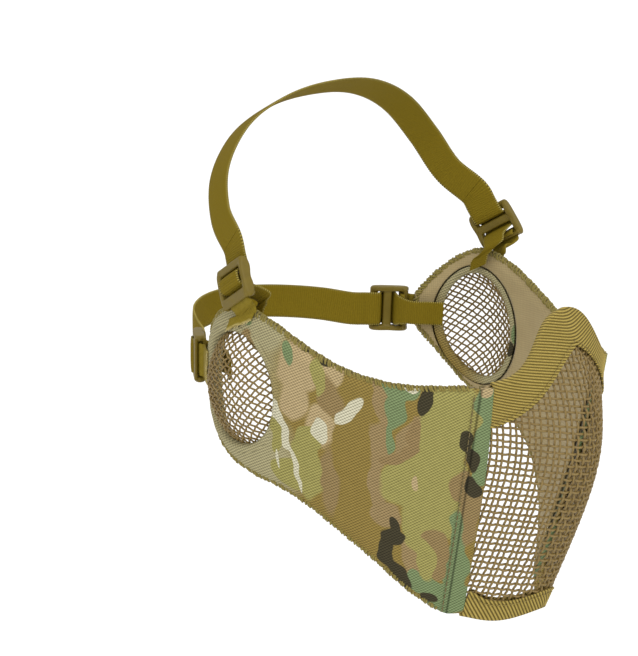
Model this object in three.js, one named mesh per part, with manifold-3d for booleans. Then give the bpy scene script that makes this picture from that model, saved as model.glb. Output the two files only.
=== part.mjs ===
// Foldable half-face mask with ear protection: a wire mesh front, two padded fabric side panels with
// a domed wire mesh over each ear, and two elastic straps with four ladder-lock buckles.
// Millimetres. +Z is up, the wearer faces -Y, and the wearer's right side is -X.
// The origin is the middle of the wearer's head, midway between the two ear meshes.
import * as THREE from 'three';
import { mergeVertices } from 'three/addons/utils/BufferGeometryUtils.js';
import Module from 'manifold-3d';

const wasm = await Module();
wasm.setup();

// ---------------------------------------------------------------- driving dimensions
const GAP = 0.3;                     // clearance between pieces that touch

const RIDGE_Y = 120.5;               // how far the ridge of the front mesh stands ahead of the ears
const RIDGE_Z = -18;                 // height of the foremost point of the ridge
const RIDGE_BEND = 25;               // roundness of the ridge seen from the side
const NOSE_LEAN = 0.5;               // how steeply the ridge leans back above that point
const CHIN_LEAN = 0.5;               // and below it
const RIDGE_ROUND = 13;              // roundness of the ridge seen from above

const SEAM_TOP = new THREE.Vector3(43.5, -94.5, 10);
const SEAM_BOTTOM = new THREE.Vector3(32, -69, -93);
const SEAM_BOW = 2;                  // how far the seam bows out between its ends

const HALF_WIDTH = 84;               // half the width over the ears
const WIDTH_Z = 5;                   // height at which the mask is widest
const WIDTH_TAPER = 0.0013;          // narrowing above and below, per square millimetre
const CHEEK_POWER = 2.1;             // fullness of the cheek seen from above
const REAR_Y = 28;                   // rear edge of the side panels behind the ear centre
const REAR_TUCK = 15;                // how far the rear edge curls in behind the ear

const NOSE_RISE = 26.8;              // height of the nose arch over the seams' top
const NOSE_HALF = 20;                // half width of the nose arch at half its height
const NOSE_SOFT = 5;                 // softness of the arch's sides
const EDGE_Z = 9;                    // height of the mesh's top edge beside the arch
const CHIN_Z = -93;                  // height of the mesh's lower edge at the ridge
const NOSE_TAPE_DROP = 36.5;         // the same arch for the lower edge of the nose tape
const NOSE_TAPE_HALF = 17.5;
const NOSE_TAPE_SOFT = 8.2;
const NOSE_TAPE_Z = -11.5;
const CHIN_SAG = 3.5;                // how much lower that edge dips on each side of the ridge
const CHIN_TAPE = 9.5;                // width of the chin tape that shows

const MESH_THICK = 1.2;
const TAPE_THICK = 0.9;
const TAPE_TURN = 1.2;               // how far the tape stands past the mesh's edge
const HEM_WIDTH = 5;                 // front hem of a side panel, over the edge of the mesh
const HEM_TURN = 1.2;                // how far the mesh stops short of the seam, inside the hem
const HINGE_GAP = 1.6;               // free cloth on each side of the fold line

const SHELL = [1.6, 2.4];            // layers of a side panel, heights over its middle surface
const FOAM = [-1.4, 1.3];
const LINING = [-2.5, -1.7];
const TRIM_ROUND = 1.1;              // how far the overlocked edge stands past the layers

const EAR_Y = 0.5;                   // centre and radii of the ear opening
const EAR_Z = 2;
const EAR_RY = 20;
const EAR_RZ = 25.5;
const EAR_TILT = THREE.MathUtils.degToRad(10);
const EAR_DOME = 8.5;                // how far the ear mesh bulges out
const EAR_CUT = 2.6;                 // how much wider the layers are cut than the opening
const EAR_MARGIN = 2.4;              // how much smaller the ear mesh is than the opening

const STRAP_WIDTH = 15;
const STRAP_THICK = 1.2;
const BUCKLE_WIDTH = 20.6;
const RAIL_WIDTH = 2.4;
const BUCKLE_FOOT = -2.2;            // lower and upper end of a buckle, from its tab bar
const BUCKLE_HEAD = 15.6;
// cross parts of a buckle: [from, to] along it and [back, front] through it
const TAB_BAR_RADIUS = 0.95;
const TAB_BAR_AT = [-0.4, -2.05];    // middle of the round bar that the tab holds
const FRONT_LIP = [[BUCKLE_FOOT, 2.4], [0.9, 2.4]];
const MIDDLE_BAR = [[5.6, 9.6], [-1.5, 1.5]];
const TOP_BAR = [[12, BUCKLE_HEAD], [-1.5, 1.7]];
const RAIL_DEPTH = [-3, 2.1];
const TAB_WIDTH = 14;

// outline of a side panel: [distance from the seam to the rear edge as 0 to 1, height]
const PANEL_TOP = [[0, 9], [0.2, 9.4], [0.36, 14.5], [0.5, 23], [0.62, 31], [0.76, 36.6], [0.86, 33],
  [0.94, 25], [1, 15]];
const PANEL_BOTTOM = [[0, -92.5], [0.11, -81], [0.22, -67.5], [0.33, -56], [0.45, -45], [0.57, -37.5],
  [0.7, -33], [0.83, -25.5], [0.92, -14], [1, 0]];

// ---------------------------------------------------------------- helpers
const lerp = THREE.MathUtils.lerp;
const vec = (x, y, z) => new THREE.Vector3(x, y, z);
const arch = (x, half, soft) => 1 / (1 + Math.exp((Math.abs(x) - half) / soft));

// smooth curve through [t, value] points
function through(points, t) {
  let i = 0;
  while (i < points.length - 2 && t > points[i + 1][0]) i += 1;
  const slope = (k) => {
    const a = points[Math.max(k - 1, 0)];
    const b = points[Math.min(k + 1, points.length - 1)];
    return (b[1] - a[1]) / (b[0] - a[0]);
  };
  const [t0, v0] = points[i];
  const [t1, v1] = points[i + 1];
  const w = t1 - t0;
  const s = THREE.MathUtils.clamp((t - t0) / w, 0, 1);
  const a = slope(i) * w - (v1 - v0);
  const b = -slope(i + 1) * w + (v1 - v0);
  return lerp(v0, v1, s) + s * (1 - s) * (a * (1 - s) + b * s);
}

// closed solid through rings of points; each ring runs out along one face and back along the other
function loft(rings, closed = false) {
  const n = rings[0].length;
  const positions = rings.flat().flatMap((p) => p.toArray());
  const index = [];
  const last = closed ? rings.length : rings.length - 1;
  for (let i = 0; i < last; i += 1) {
    const next = (i + 1) % rings.length;
    for (let k = 0; k < n; k += 1) {
      const a = i * n + k;
      const b = i * n + ((k + 1) % n);
      const c = next * n + ((k + 1) % n);
      const d = next * n + k;
      index.push(a, b, c, a, c, d);
    }
  }
  if (!closed) {
    const end = (rings.length - 1) * n;
    for (let k = 0; k < n / 2 - 1; k += 1) {
      const m = n - 1 - k;
      index.push(k, m, k + 1, k + 1, m, m - 1);
      index.push(end + k, end + k + 1, end + m, end + k + 1, end + m - 1, end + m);
    }
  }
  const geometry = new THREE.BufferGeometry();
  geometry.setAttribute('position', new THREE.Float32BufferAttribute(positions, 3));
  geometry.setIndex(index);
  return outward(geometry);
}

// turns every face of a closed geometry to point out
function outward(geometry) {
  const p = geometry.attributes.position;
  const index = geometry.index.array;
  const [a, b, c] = [vec(), vec(), vec()];
  let volume = 0;
  for (let i = 0; i < index.length; i += 3) {
    a.fromBufferAttribute(p, index[i]);
    b.fromBufferAttribute(p, index[i + 1]);
    c.fromBufferAttribute(p, index[i + 2]);
    volume += a.dot(b.cross(c));
  }
  if (volume < 0) {
    for (let i = 0; i < index.length; i += 3) [index[i], index[i + 2]] = [index[i + 2], index[i]];
  }
  return geometry;
}

function toSolid(geometry) {
  const bare = geometry.clone();
  bare.deleteAttribute('normal');
  bare.deleteAttribute('uv');
  const merged = mergeVertices(bare, 1e-4);
  return new wasm.Manifold(new wasm.Mesh({
    numProp: 3,
    vertProperties: new Float32Array(merged.attributes.position.array),
    triVerts: new Uint32Array(merged.index.array),
  }));
}

function toGeometry(solid) {
  const mesh = solid.getMesh();
  const geometry = new THREE.BufferGeometry();
  geometry.setAttribute('position', new THREE.BufferAttribute(new Float32Array(mesh.vertProperties), 3));
  geometry.setIndex(new THREE.BufferAttribute(new Uint32Array(mesh.triVerts), 1));
  return geometry;
}

// ---------------------------------------------------------------- the form of the mask
function ridgeY(z) {
  const lean = z > RIDGE_Z ? NOSE_LEAN : CHIN_LEAN;
  return RIDGE_Y - lean * (Math.hypot(z - RIDGE_Z, RIDGE_BEND) - RIDGE_BEND);
}

// the seam between the mesh and the left side panel at a height
function seam(z) {
  const t = (SEAM_TOP.z - Math.min(z, SEAM_TOP.z)) / (SEAM_TOP.z - SEAM_BOTTOM.z);
  const bow = SEAM_BOW * 4 * t * (1 - t);
  const p = SEAM_TOP.clone().lerp(SEAM_BOTTOM, t);
  return vec(p.x + bow * 0.62, p.y - bow * 0.78, z);
}

function front(x, z) {
  const s = seam(z);
  const run = (d) => Math.hypot(d, RIDGE_ROUND) - RIDGE_ROUND;
  const slope = (ridgeY(z) + s.y) / run(s.x);
  return vec(x, slope * run(x) - ridgeY(z), z);
}

// left side: s runs from the seam, 0, to the rear edge, 1
function cheek(s, z) {
  const start = seam(z);
  const y = lerp(start.y, REAR_Y, s);
  const wide = HALF_WIDTH - WIDTH_TAPER * (z - WIDTH_Z) ** 2;
  const x = y < 0
    ? wide - (wide - start.x) * (y / start.y) ** CHEEK_POWER
    : wide - REAR_TUCK * (y / REAR_Y) ** 2.2;
  return vec(x, y, z);
}

// point lifted off a surface along its outward normal
function lift(surface, a, b, height) {
  const step = surface === front ? 0.2 : 0.002;
  const p = surface(a, b);
  const across = surface(a + step, b).sub(surface(a - step, b));
  const up = surface(a, b + 0.2).sub(surface(a, b - 0.2));
  return p.addScaledVector(across.cross(up).normalize(), height);
}

const meshTop = (x) => EDGE_Z + NOSE_RISE * arch(x, NOSE_HALF, NOSE_SOFT);
const tapeFoot = (x) => NOSE_TAPE_Z + NOSE_TAPE_DROP * arch(x, NOSE_TAPE_HALF, NOSE_TAPE_SOFT);
const chinShare = (x) => Math.min(Math.abs(x) / SEAM_BOTTOM.x, 1);
const meshBottom = (x) => CHIN_Z - CHIN_SAG * Math.sin(Math.PI * chinShare(x)) ** 2;

// ---------------------------------------------------------------- front pieces
// a sheet across the front between two edges, each a height for every x
function frontSheet(low, high, nx, nz) {
  const rings = [];
  for (let i = 0; i <= nx; i += 1) {
    const share = lerp(-1, 1, i / nx);
    const row = (height) => Array.from({ length: nz + 1 }, (_, j) => {
      const v = j / nz;
      const x = share * (seam(lerp(CHIN_Z, EDGE_Z, v)).x - HEM_TURN);
      return lift(front, x, lerp(low(x), high(x), v), height);
    });
    rings.push([...row(MESH_THICK / 2), ...row(-MESH_THICK / 2).reverse()]);
  }
  return loft(rings);
}

function frontMesh() {
  const inside = 1;                  // the wire stops a little inside the tapes
  return frontSheet((x) => meshBottom(x) + inside, (x) => meshTop(x) - inside, 26, 16);
}

// tape folded over an edge of the mesh: section is a U round the edge
function foldedTape(edge, foot, reach, side, steps) {
  const near = MESH_THICK / 2 + GAP + 0.1;
  const far = near + TAPE_THICK;
  const rings = [];
  for (let i = 0; i <= steps; i += 1) {
    const x = lerp(-reach, reach, i / steps);
    const z = edge(x);
    const at = (h, height) => lift(front, x, z + h * side, height);
    const depth = Math.abs(edge(x) - foot(x));
    const across = [-depth, -depth / 2, GAP];
    const outside = [
      ...across.map((h) => at(h, far)), at(TAPE_TURN, near), at(TAPE_TURN, -near),
      ...across.map((h) => at(h, -far)).reverse(),
    ];
    const inside = [
      ...across.map((h) => at(h, near)), at(GAP, near - 0.1), at(GAP, 0.1 - near),
      ...across.map((h) => at(h, -near)).reverse(),
    ];
    rings.push([...outside, ...inside.reverse()]);
  }
  return loft(rings);
}

const noseReach = SEAM_TOP.x - HEM_WIDTH - 2;
const chinReach = SEAM_BOTTOM.x - HEM_WIDTH - 2;
const noseBinding = () => foldedTape(meshTop, tapeFoot, noseReach, 1, 36);
const chinBinding = () => foldedTape(meshBottom, (x) => meshBottom(x) + CHIN_TAPE, chinReach, -1, 10);

// hem of a side panel, turned round the side edge of the mesh
function hem() {
  const near = MESH_THICK / 2 + GAP;
  const far = near + 1.1;
  const rings = [];
  const steps = 8;
  for (let i = 0; i <= steps; i += 1) {
    const z = lerp(SEAM_BOTTOM.z, SEAM_TOP.z - 1, i / steps);
    const at = (d, height) => lift(front, seam(z).x + d, z, height);
    const back = -0.2;
    const outside = [at(-HEM_WIDTH, far), at(-HEM_WIDTH / 2, far), at(back, far), at(back, -far),
      at(-HEM_WIDTH / 2, -far), at(-HEM_WIDTH, -far)];
    const inside = [at(-HEM_WIDTH, near), at(-HEM_WIDTH / 2, near), at(back - 0.7, near),
      at(back - 0.7, -near), at(-HEM_WIDTH / 2, -near), at(-HEM_WIDTH, -near)];
    rings.push([...outside, ...inside.reverse()]);
  }
  return loft(rings);
}

// ---------------------------------------------------------------- side pieces (left side)
// point of the side panel: u from the fold line, 0, to the rear edge, 1, and v from bottom to top
function panelPoint(u, v, height, inset) {
  const low = through(PANEL_BOTTOM, u) + inset;
  const high = through(PANEL_TOP, u) - inset;
  const z = lerp(low, high, v);
  const length = REAR_Y - seam(z).y;
  const s = lerp(HINGE_GAP / length, 1 - inset / length, u);
  return lift(cheek, s, z, height);
}

// spreads the columns, closer together towards the rounded rear
const column = (i, n) => Math.sin((i / n) * Math.PI * 0.5) * 0.55 + (i / n) * 0.45;

function panelLayer([inner, outer], inset, nu = 20, nv = 8) {
  const rings = [];
  for (let i = 0; i <= nu; i += 1) {
    const row = (height) => Array.from({ length: nv + 1 },
      (_, j) => panelPoint(column(i, nu), j / nv, height, inset));
    rings.push([...row(outer), ...row(inner).reverse()]);
  }
  return loft(rings);
}

const onPanel = (y, z, height) => lift(cheek, (y - seam(z).y) / (REAR_Y - seam(z).y), z, height);

// point of the ear opening at an angle and a share r of its radii, which are widened by grow
function earPoint(angle, r, grow, height) {
  const a = Math.cos(angle) * (EAR_RY + grow) * r;
  const b = Math.sin(angle) * (EAR_RZ + grow) * r;
  const y = EAR_Y + a * Math.cos(EAR_TILT) + b * Math.sin(EAR_TILT);
  const z = EAR_Z - a * Math.sin(EAR_TILT) + b * Math.cos(EAR_TILT);
  return onPanel(y, z, height);
}

// elliptical cutter along X through the left panel
function earCutter(grow) {
  const outline = new THREE.Shape();
  outline.absellipse(0, 0, EAR_RY + grow, EAR_RZ + grow, 0, Math.PI * 2, false, 0);
  const prism = new THREE.ExtrudeGeometry(outline, { depth: 60, bevelEnabled: false, curveSegments: 14 });
  prism.rotateZ(-EAR_TILT);
  const turn = new THREE.Matrix4().makeBasis(vec(0, 1, 0), vec(0, 0, 1), vec(1, 0, 0));
  prism.applyMatrix4(turn);
  prism.translate(50, EAR_Y, EAR_Z);
  return toSolid(prism);
}

const withEarOpening = (geometry, grow) => toGeometry(toSolid(geometry).subtract(earCutter(grow)));

// turned edge of the cloth round the ear opening
function earRing() {
  const steps = 32;
  const rings = [];
  for (let i = 0; i < steps; i += 1) {
    const a = (i / steps) * Math.PI * 2;
    const at = (grow, height) => earPoint(a, 1, grow, height);
    rings.push([at(-2, 2.9), at(0.8, 2.9), at(0.8, -3.1), at(-2, -2.4)]);
  }
  return loft(rings, true);
}

// domed wire mesh that fills the ear opening, as one closed sheet
function earMesh() {
  const n = 8;
  const rings = [];
  for (let i = 0; i <= n; i += 1) {
    const row = (height) => Array.from({ length: n + 1 }, (_, j) => {
      const a = lerp(-1, 1, i / n);
      const b = lerp(-1, 1, j / n);
      const p = a * Math.sqrt(1 - (b * b) / 2);
      const q = b * Math.sqrt(1 - (a * a) / 2);
      const r = Math.hypot(p, q);
      return earPoint(Math.atan2(q, p), r, -EAR_MARGIN, height + EAR_DOME * (1 - r ** 4));
    });
    rings.push([...row(MESH_THICK / 2), ...row(-MESH_THICK / 2).reverse()]);
  }
  return loft(rings);
}

// overlocked edge along the top, rear and bottom of the panel
function edgeTrim() {
  const route = [];
  const n = 18;
  for (let i = 0; i <= n; i += 1) route.push([column(i, n), 1, 0, 1]);
  for (let j = 1; j < 4; j += 1) route.push([1, 1 - j / 4, 1, 0]);
  for (let i = n; i >= 0; i -= 1) route.push([column(i, n), 0, 0, -1]);
  const rings = route.map(([u, v, du, dv]) => {
    const at = (d, height) => trimPoint(u, v, du, dv, d, height);
    return [at(0.4, 2.9), at(0.4 + TRIM_ROUND, 1.6), at(0.4 + TRIM_ROUND, -1.7), at(0.4, -3)];
  });
  return loft(rings);
}

function trimPoint(u, v, du, dv, d, height) {
  const base = panelPoint(u, v, height, 0);
  const inner = panelPoint(Math.max(u - du * 0.02, 0), v - dv * 0.02, height, 0);
  return base.clone().addScaledVector(base.clone().sub(inner).normalize(), d);
}

// ---------------------------------------------------------------- buckles, tabs and straps
// a buckle's own frame: origin on its lowest bar, y along the strap, z out from the head
function frameAt(origin, along, out) {
  const y = along.clone().normalize();
  const x = y.clone().cross(out).normalize();
  const z = x.clone().cross(y);
  return new THREE.Matrix4().makeBasis(x, y, z).setPosition(origin);
}

const TOP_FRAME = frameAt(vec(90.6, -5.5, 41.4), vec(-0.22, 0.45, 0.86), vec(0.95, 0.3, 0.1));
const REAR_FRAME = frameAt(vec(69.5, 35.2, 7), vec(-0.7, 0.715, 0.04), vec(0.715, 0.7, 0));

// side rail of a buckle: a thick cheek with a waved back edge
function rail(side) {
  const [back, front] = RAIL_DEPTH;
  const outline = new THREE.Shape();
  outline.moveTo(BUCKLE_FOOT + 1.2, back);
  outline.lineTo(3, back);
  outline.quadraticCurveTo(6, back + 1.5, 9, back + 0.6);
  outline.lineTo(13, back + 0.4);
  outline.quadraticCurveTo(BUCKLE_HEAD, back + 1, BUCKLE_HEAD - 0.4, 0);
  outline.quadraticCurveTo(BUCKLE_HEAD - 0.6, front, 11, front);
  outline.lineTo(0, front);
  outline.quadraticCurveTo(BUCKLE_FOOT, front, BUCKLE_FOOT, 0.5);
  outline.closePath();
  const options = { depth: RAIL_WIDTH, bevelEnabled: false, curveSegments: 4 };
  const geometry = new THREE.ExtrudeGeometry(outline, options);
  const turn = new THREE.Matrix4().makeBasis(vec(0, 1, 0), vec(0, 0, 1), vec(1, 0, 0));
  geometry.applyMatrix4(turn);
  geometry.translate(side > 0 ? BUCKLE_WIDTH / 2 - RAIL_WIDTH : -BUCKLE_WIDTH / 2, 0, 0);
  return toSolid(geometry);
}

function crossBar([[from, to], [back, front]]) {
  const bar = new THREE.BoxGeometry(BUCKLE_WIDTH - RAIL_WIDTH, to - from, front - back);
  bar.translate(0, (from + to) / 2, (back + front) / 2);
  return toSolid(bar);
}

function buckle() {
  const pin = new THREE.CylinderGeometry(TAB_BAR_RADIUS, TAB_BAR_RADIUS, BUCKLE_WIDTH - RAIL_WIDTH, 16);
  pin.rotateZ(Math.PI / 2);
  pin.translate(0, ...TAB_BAR_AT);
  let solid = rail(1).add(rail(-1)).add(toSolid(pin));
  for (const bar of [FRONT_LIP, MIDDLE_BAR, TOP_BAR]) solid = solid.add(crossBar(bar));
  return toGeometry(solid);
}

// flat band along a line of {p, across, out} stations
function band(stations, width, thick) {
  const rings = stations.map(({ p, across, out }) => {
    const at = (w, h) => p.clone().addScaledVector(across, w * width / 2).addScaledVector(out, h * thick / 2);
    return [at(-1, 1), at(0, 1), at(1, 1), at(1, -1), at(0, -1), at(-1, -1)];
  });
  return loft(rings);
}

// stations along a profile drawn in a buckle's own frame as [along, out] or [along, out, sideways] points
function profileStations(matrix, profile, steps) {
  const points = profile.map(([y, z, x = 0]) => vec(x, y, z));
  const curve = new THREE.CatmullRomCurve3(points, false, 'centripetal');
  const across = vec(1, 0, 0).transformDirection(matrix);
  return curve.getSpacedPoints(steps).map((q, i) => {
    const t = curve.getTangentAt(i / steps);
    const out = vec(0, -t.z, t.y).transformDirection(matrix);
    return { p: q.applyMatrix4(matrix), across: across.clone(), out };
  });
}

// webbing threaded through a buckle: behind the tab, round the middle bar, and out behind the top bar
const THREAD = [[3.9, -2.4], [4.3, 0.6], [5.4, 2.5], [7.6, 2.8], [9.8, 2.5], [10.6, 1.1], [10.9, -0.8],
  [11.4, -2.4], [13, -3.1], [18, -3.1]];
// where the tail leaves a buckle for the inside of the side panel
const TOP_EXIT = [[0.4, -12.8], [2.7, -9.2], [3.6, -5.2]];
const REAR_EXIT = [[-5.6, -10.8], [-0.5, -8.1], [2.8, -4.9]];
// tab round its bar: up between the bar and the lip, over the bar and down behind it
const TAB_LOOP = [[-3.2, -1.6], [-1.6, -0.2], [0, -0.1], [1.1, -0.6], [1.6, -2.05], [1.1, -3.5], [0.2, -4]];
// rows of webbing against the side panel, as [y, z]: tabs on its face, strap tails on its inside
const TOP_TAB_ROWS = [[-3.4, 31], [-4.6, 33.8]];
const REAR_TAB_ROWS = [[22, 6.6], [25.5, 6.8]];
const TOP_TAIL_ROWS = [[-1.5, 29.8], [-2.2, 32.2], [-3, 34.6]];
const REAR_TAIL_ROWS = [[18.5, 6.5], [22, 6.6], [26, 6.9]];
const TAIL_HEIGHT = -6.2;

const panelNormal = ({ y, z }) => onPanel(y, z, 1).sub(onPanel(y, z, 0));

// stations of webbing that starts against the panel, at a height over its middle surface, and then
// follows a profile in a buckle's own frame; settle is the share over which it turns from one to the other
function webbing(matrix, rows, height, profile, steps, settle) {
  const back = matrix.clone().invert();
  const start = rows.map(([y, z]) => {
    const p = onPanel(y, z, height).applyMatrix4(back);
    return [p.y, p.z, p.x];
  });
  const stations = profileStations(matrix, [...start, ...profile], steps);
  stations.forEach((station, i) => {
    const free = THREE.MathUtils.smoothstep(i / steps, settle * 0.6, settle);
    if (free === 1) return;
    const along = station.across.clone().cross(station.out);
    const out = panelNormal(station.p).lerp(station.out, free);
    station.across.crossVectors(out, along).normalize();
    station.out.crossVectors(along, station.across).normalize();
  });
  return stations;
}

function tab(matrix, rows) {
  return band(webbing(matrix, rows, SHELL[1] + 1.8, TAB_LOOP, 18, 0.3), TAB_WIDTH, STRAP_THICK);
}

// middle line of the top strap from the left buckle over the crown, and of the rear strap
const TOP_ROUTE = [[77, 16, 72], [69, 23.5, 88], [53, 26, 104], [29, 25, 114], [0, 24, 117]];
const REAR_ROUTE = [[42, 62, 10], [30, 74, 11.5], [15, 82, 12.6], [0, 84.5, 13]];
// points inside the head that the straps face away from
const CROWN_CENTRE = vec(0, -22, 30);
const NAPE_CENTRE = vec(0, 10, 10);

// half of a strap, from a buckle to the middle of the head, as stations
function strapHalf(matrix, route, centre, steps) {
  const leave = vec(0, ...THREAD[THREAD.length - 1]).applyMatrix4(matrix);
  const along = vec(0, 1, 0).transformDirection(matrix);
  const points = [leave, leave.clone().addScaledVector(along, 6)];
  route.forEach(([x, y, z]) => points.push(vec(x, y, z)));
  const last = points[points.length - 2];
  points.push(vec(-last.x, last.y, last.z));
  const curve = new THREE.CatmullRomCurve3(points, false, 'centripetal');
  const buckleOut = vec(0, 0, 1).transformDirection(matrix);
  const end = endShare(curve);
  const stations = [];
  for (let i = 1; i <= steps; i += 1) {
    const t = (i / steps) * end;
    const p = curve.getPointAt(t);
    const tangent = curve.getTangentAt(t);
    if (i === steps) {
      p.x = 0;
      tangent.set(-1, 0, 0);
    }
    const head = p.clone().sub(centre).normalize();
    const out = buckleOut.clone().lerp(head, THREE.MathUtils.smoothstep(t, 0, end * 0.4));
    const across = tangent.clone().cross(out).normalize();
    out.crossVectors(across, tangent).normalize();
    stations.push({ p, across, out });
  }
  return stations;
}

// share of a curve's length at which it reaches the middle plane
function endShare(curve) {
  let low = 0.5;
  let high = 1;
  for (let k = 0; k < 30; k += 1) {
    const middle = (low + high) / 2;
    if (curve.getPointAt(middle).x > 0) low = middle;
    else high = middle;
  }
  return low;
}

const mirrorStation = ({ p, across, out }) => ({
  p: vec(-p.x, p.y, p.z),
  across: vec(across.x, -across.y, -across.z),
  out: vec(-out.x, out.y, out.z),
});

function strap(matrix, tail, exit, route, centre, steps) {
  const thread = webbing(matrix, tail, TAIL_HEIGHT, [...exit, ...THREAD], 32, 0.2);
  const half = [...thread, ...strapHalf(matrix, route, centre, steps)];
  half.forEach((station) => {
    if (station.across.dot(thread[0].across) < 0) station.across.negate();
  });
  const other = half.slice(0, -1).map(mirrorStation).reverse();
  other.forEach((station, i) => {
    const before = i ? other[i - 1] : half[half.length - 1];
    if (station.across.dot(before.across) < 0) station.across.negate();
  });
  return band([...half, ...other], STRAP_WIDTH, STRAP_THICK);
}

// ---------------------------------------------------------------- assembly
const FINISH = {
  wire: { color: 0xa08a62, roughness: 0.5, metalness: 0.3 },
  tape: { color: 0xa58a4c, roughness: 0.85, metalness: 0 },
  camo: { color: 0x9b8c5a, roughness: 0.8, metalness: 0 },
  foam: { color: 0x4a463c, roughness: 0.95, metalness: 0 },
  lining: { color: 0xa8946a, roughness: 0.9, metalness: 0 },
  trim: { color: 0xab935c, roughness: 0.85, metalness: 0 },
  webbing: { color: 0x84701f, roughness: 0.75, metalness: 0 },
  plastic: { color: 0x8a7234, roughness: 0.45, metalness: 0 },
};

function piece(name, geometry, finish) {
  geometry.computeVertexNormals();
  const mesh = new THREE.Mesh(geometry, new THREE.MeshStandardMaterial(FINISH[finish]));
  mesh.name = name;
  return mesh;
}

// the right-hand copy of a left-hand geometry
function mirrored(geometry) {
  const copy = geometry.clone();
  copy.scale(-1, 1, 1);
  return outward(copy);
}

function placed(geometry, matrix) {
  return geometry.clone().applyMatrix4(matrix);
}

const SIDE_PIECES = {
  hem: [hem(), 'camo'],
  shell: [withEarOpening(panelLayer(SHELL, 0), EAR_CUT), 'camo'],
  foam: [withEarOpening(panelLayer(FOAM, 1.2, 14, 6), EAR_CUT), 'foam'],
  lining: [withEarOpening(panelLayer(LINING, 0), EAR_CUT), 'lining'],
  edge_trim: [edgeTrim(), 'trim'],
  ear_ring: [earRing(), 'camo'],
  ear_mesh: [earMesh(), 'wire'],
  top_tab: [tab(TOP_FRAME, TOP_TAB_ROWS), 'webbing'],
  rear_tab: [tab(REAR_FRAME, REAR_TAB_ROWS), 'webbing'],
  top_buckle: [placed(buckle(), TOP_FRAME), 'plastic'],
  rear_buckle: [placed(buckle(), REAR_FRAME), 'plastic'],
};

const mask = new THREE.Group();
mask.add(piece('front_mesh', frontMesh(), 'wire'));
mask.add(piece('nose_binding', noseBinding(), 'tape'));
mask.add(piece('chin_binding', chinBinding(), 'tape'));
for (const [name, [geometry, finish]] of Object.entries(SIDE_PIECES)) {
  mask.add(piece(`left_${name}`, geometry, finish));
  mask.add(piece(`right_${name}`, mirrored(geometry), finish));
}
const topStrap = strap(TOP_FRAME, TOP_TAIL_ROWS, TOP_EXIT, TOP_ROUTE, CROWN_CENTRE, 16);
const rearStrap = strap(REAR_FRAME, REAR_TAIL_ROWS, REAR_EXIT, REAR_ROUTE, NAPE_CENTRE, 12);
mask.add(piece('top_strap', topStrap, 'webbing'));
mask.add(piece('rear_strap', rearStrap, 'webbing'));

export default mask;
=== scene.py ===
import math
import random

import bpy
import numpy as np
from mathutils import Matrix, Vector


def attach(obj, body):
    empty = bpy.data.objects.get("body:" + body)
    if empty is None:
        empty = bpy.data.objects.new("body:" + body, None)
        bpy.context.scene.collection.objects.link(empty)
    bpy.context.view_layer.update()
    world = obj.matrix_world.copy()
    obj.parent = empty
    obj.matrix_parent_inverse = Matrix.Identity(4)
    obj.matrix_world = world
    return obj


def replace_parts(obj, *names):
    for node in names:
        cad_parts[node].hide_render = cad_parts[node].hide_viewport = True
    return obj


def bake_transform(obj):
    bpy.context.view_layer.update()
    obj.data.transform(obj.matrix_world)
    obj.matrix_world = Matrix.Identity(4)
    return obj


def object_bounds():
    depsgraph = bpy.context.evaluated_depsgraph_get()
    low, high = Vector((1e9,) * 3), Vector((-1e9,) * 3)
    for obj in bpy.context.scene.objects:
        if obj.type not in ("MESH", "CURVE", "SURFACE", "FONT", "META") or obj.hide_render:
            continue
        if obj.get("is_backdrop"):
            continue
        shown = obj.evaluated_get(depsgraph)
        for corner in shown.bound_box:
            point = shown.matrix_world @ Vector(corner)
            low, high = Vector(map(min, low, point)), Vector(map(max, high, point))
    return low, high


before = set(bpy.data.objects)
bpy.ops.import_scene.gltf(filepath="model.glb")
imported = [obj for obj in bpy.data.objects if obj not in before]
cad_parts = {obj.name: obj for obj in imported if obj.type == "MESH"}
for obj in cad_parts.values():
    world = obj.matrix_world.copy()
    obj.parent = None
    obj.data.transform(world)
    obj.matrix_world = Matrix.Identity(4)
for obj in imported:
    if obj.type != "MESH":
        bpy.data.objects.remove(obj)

cad_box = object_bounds()
random.seed(7)
MM = 0.001

# ---------------------------------------------------------------- driving dimensions, as in the CAD part
RIDGE_Y, RIDGE_Z, RIDGE_BEND, RIDGE_LEAN, RIDGE_ROUND = 120.5, -18, 25, 0.5, 13
SEAM_TOP = np.array([43.5, -94.5, 10.0])
SEAM_BOTTOM = np.array([32.0, -69.0, -93.0])
SEAM_BOW, BOW_ACROSS, BOW_BACK = 2, 0.62, 0.78
HALF_WIDTH, WIDTH_Z, WIDTH_TAPER, CHEEK_POWER, REAR_Y, REAR_TUCK = 84, 5, 0.0013, 2.1, 28, 15
EDGE_Z, NOSE_RISE, NOSE_HALF, NOSE_SOFT = 9, 26.8, 20, 5
TAPE_Z, TAPE_DROP, TAPE_HALF, TAPE_SOFT = -11.5, 36.5, 17.5, 8.2
CHIN_Z, CHIN_SAG, CHIN_TAPE = -93, 3.5, 9.5
MESH_THICK, HEM_WIDTH, HEM_TURN, HINGE_GAP = 1.2, 5, 1.2, 1.6
EAR_Y, EAR_Z, EAR_RY, EAR_RZ, EAR_TILT, EAR_DOME = 0.5, 2, 20, 25.5, math.radians(10), 8.5
PANEL_TOP = [[0, 9], [0.2, 9.4], [0.36, 14.5], [0.5, 23], [0.62, 31], [0.76, 36.6], [0.86, 33],
             [0.94, 25], [1, 15]]
PANEL_BOTTOM = [[0, -92.5], [0.11, -81], [0.22, -67.5], [0.33, -56], [0.45, -45], [0.57, -37.5],
                [0.7, -33], [0.83, -25.5], [0.92, -14], [1, 0]]
STRAP_WIDTH, STRAP_THICK, TAB_WIDTH = 15, 1.2, 14
BUCKLE_WIDTH, RAIL_WIDTH, BUCKLE_FOOT, BUCKLE_HEAD = 20.6, 2.4, -2.2, 15.6

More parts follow.
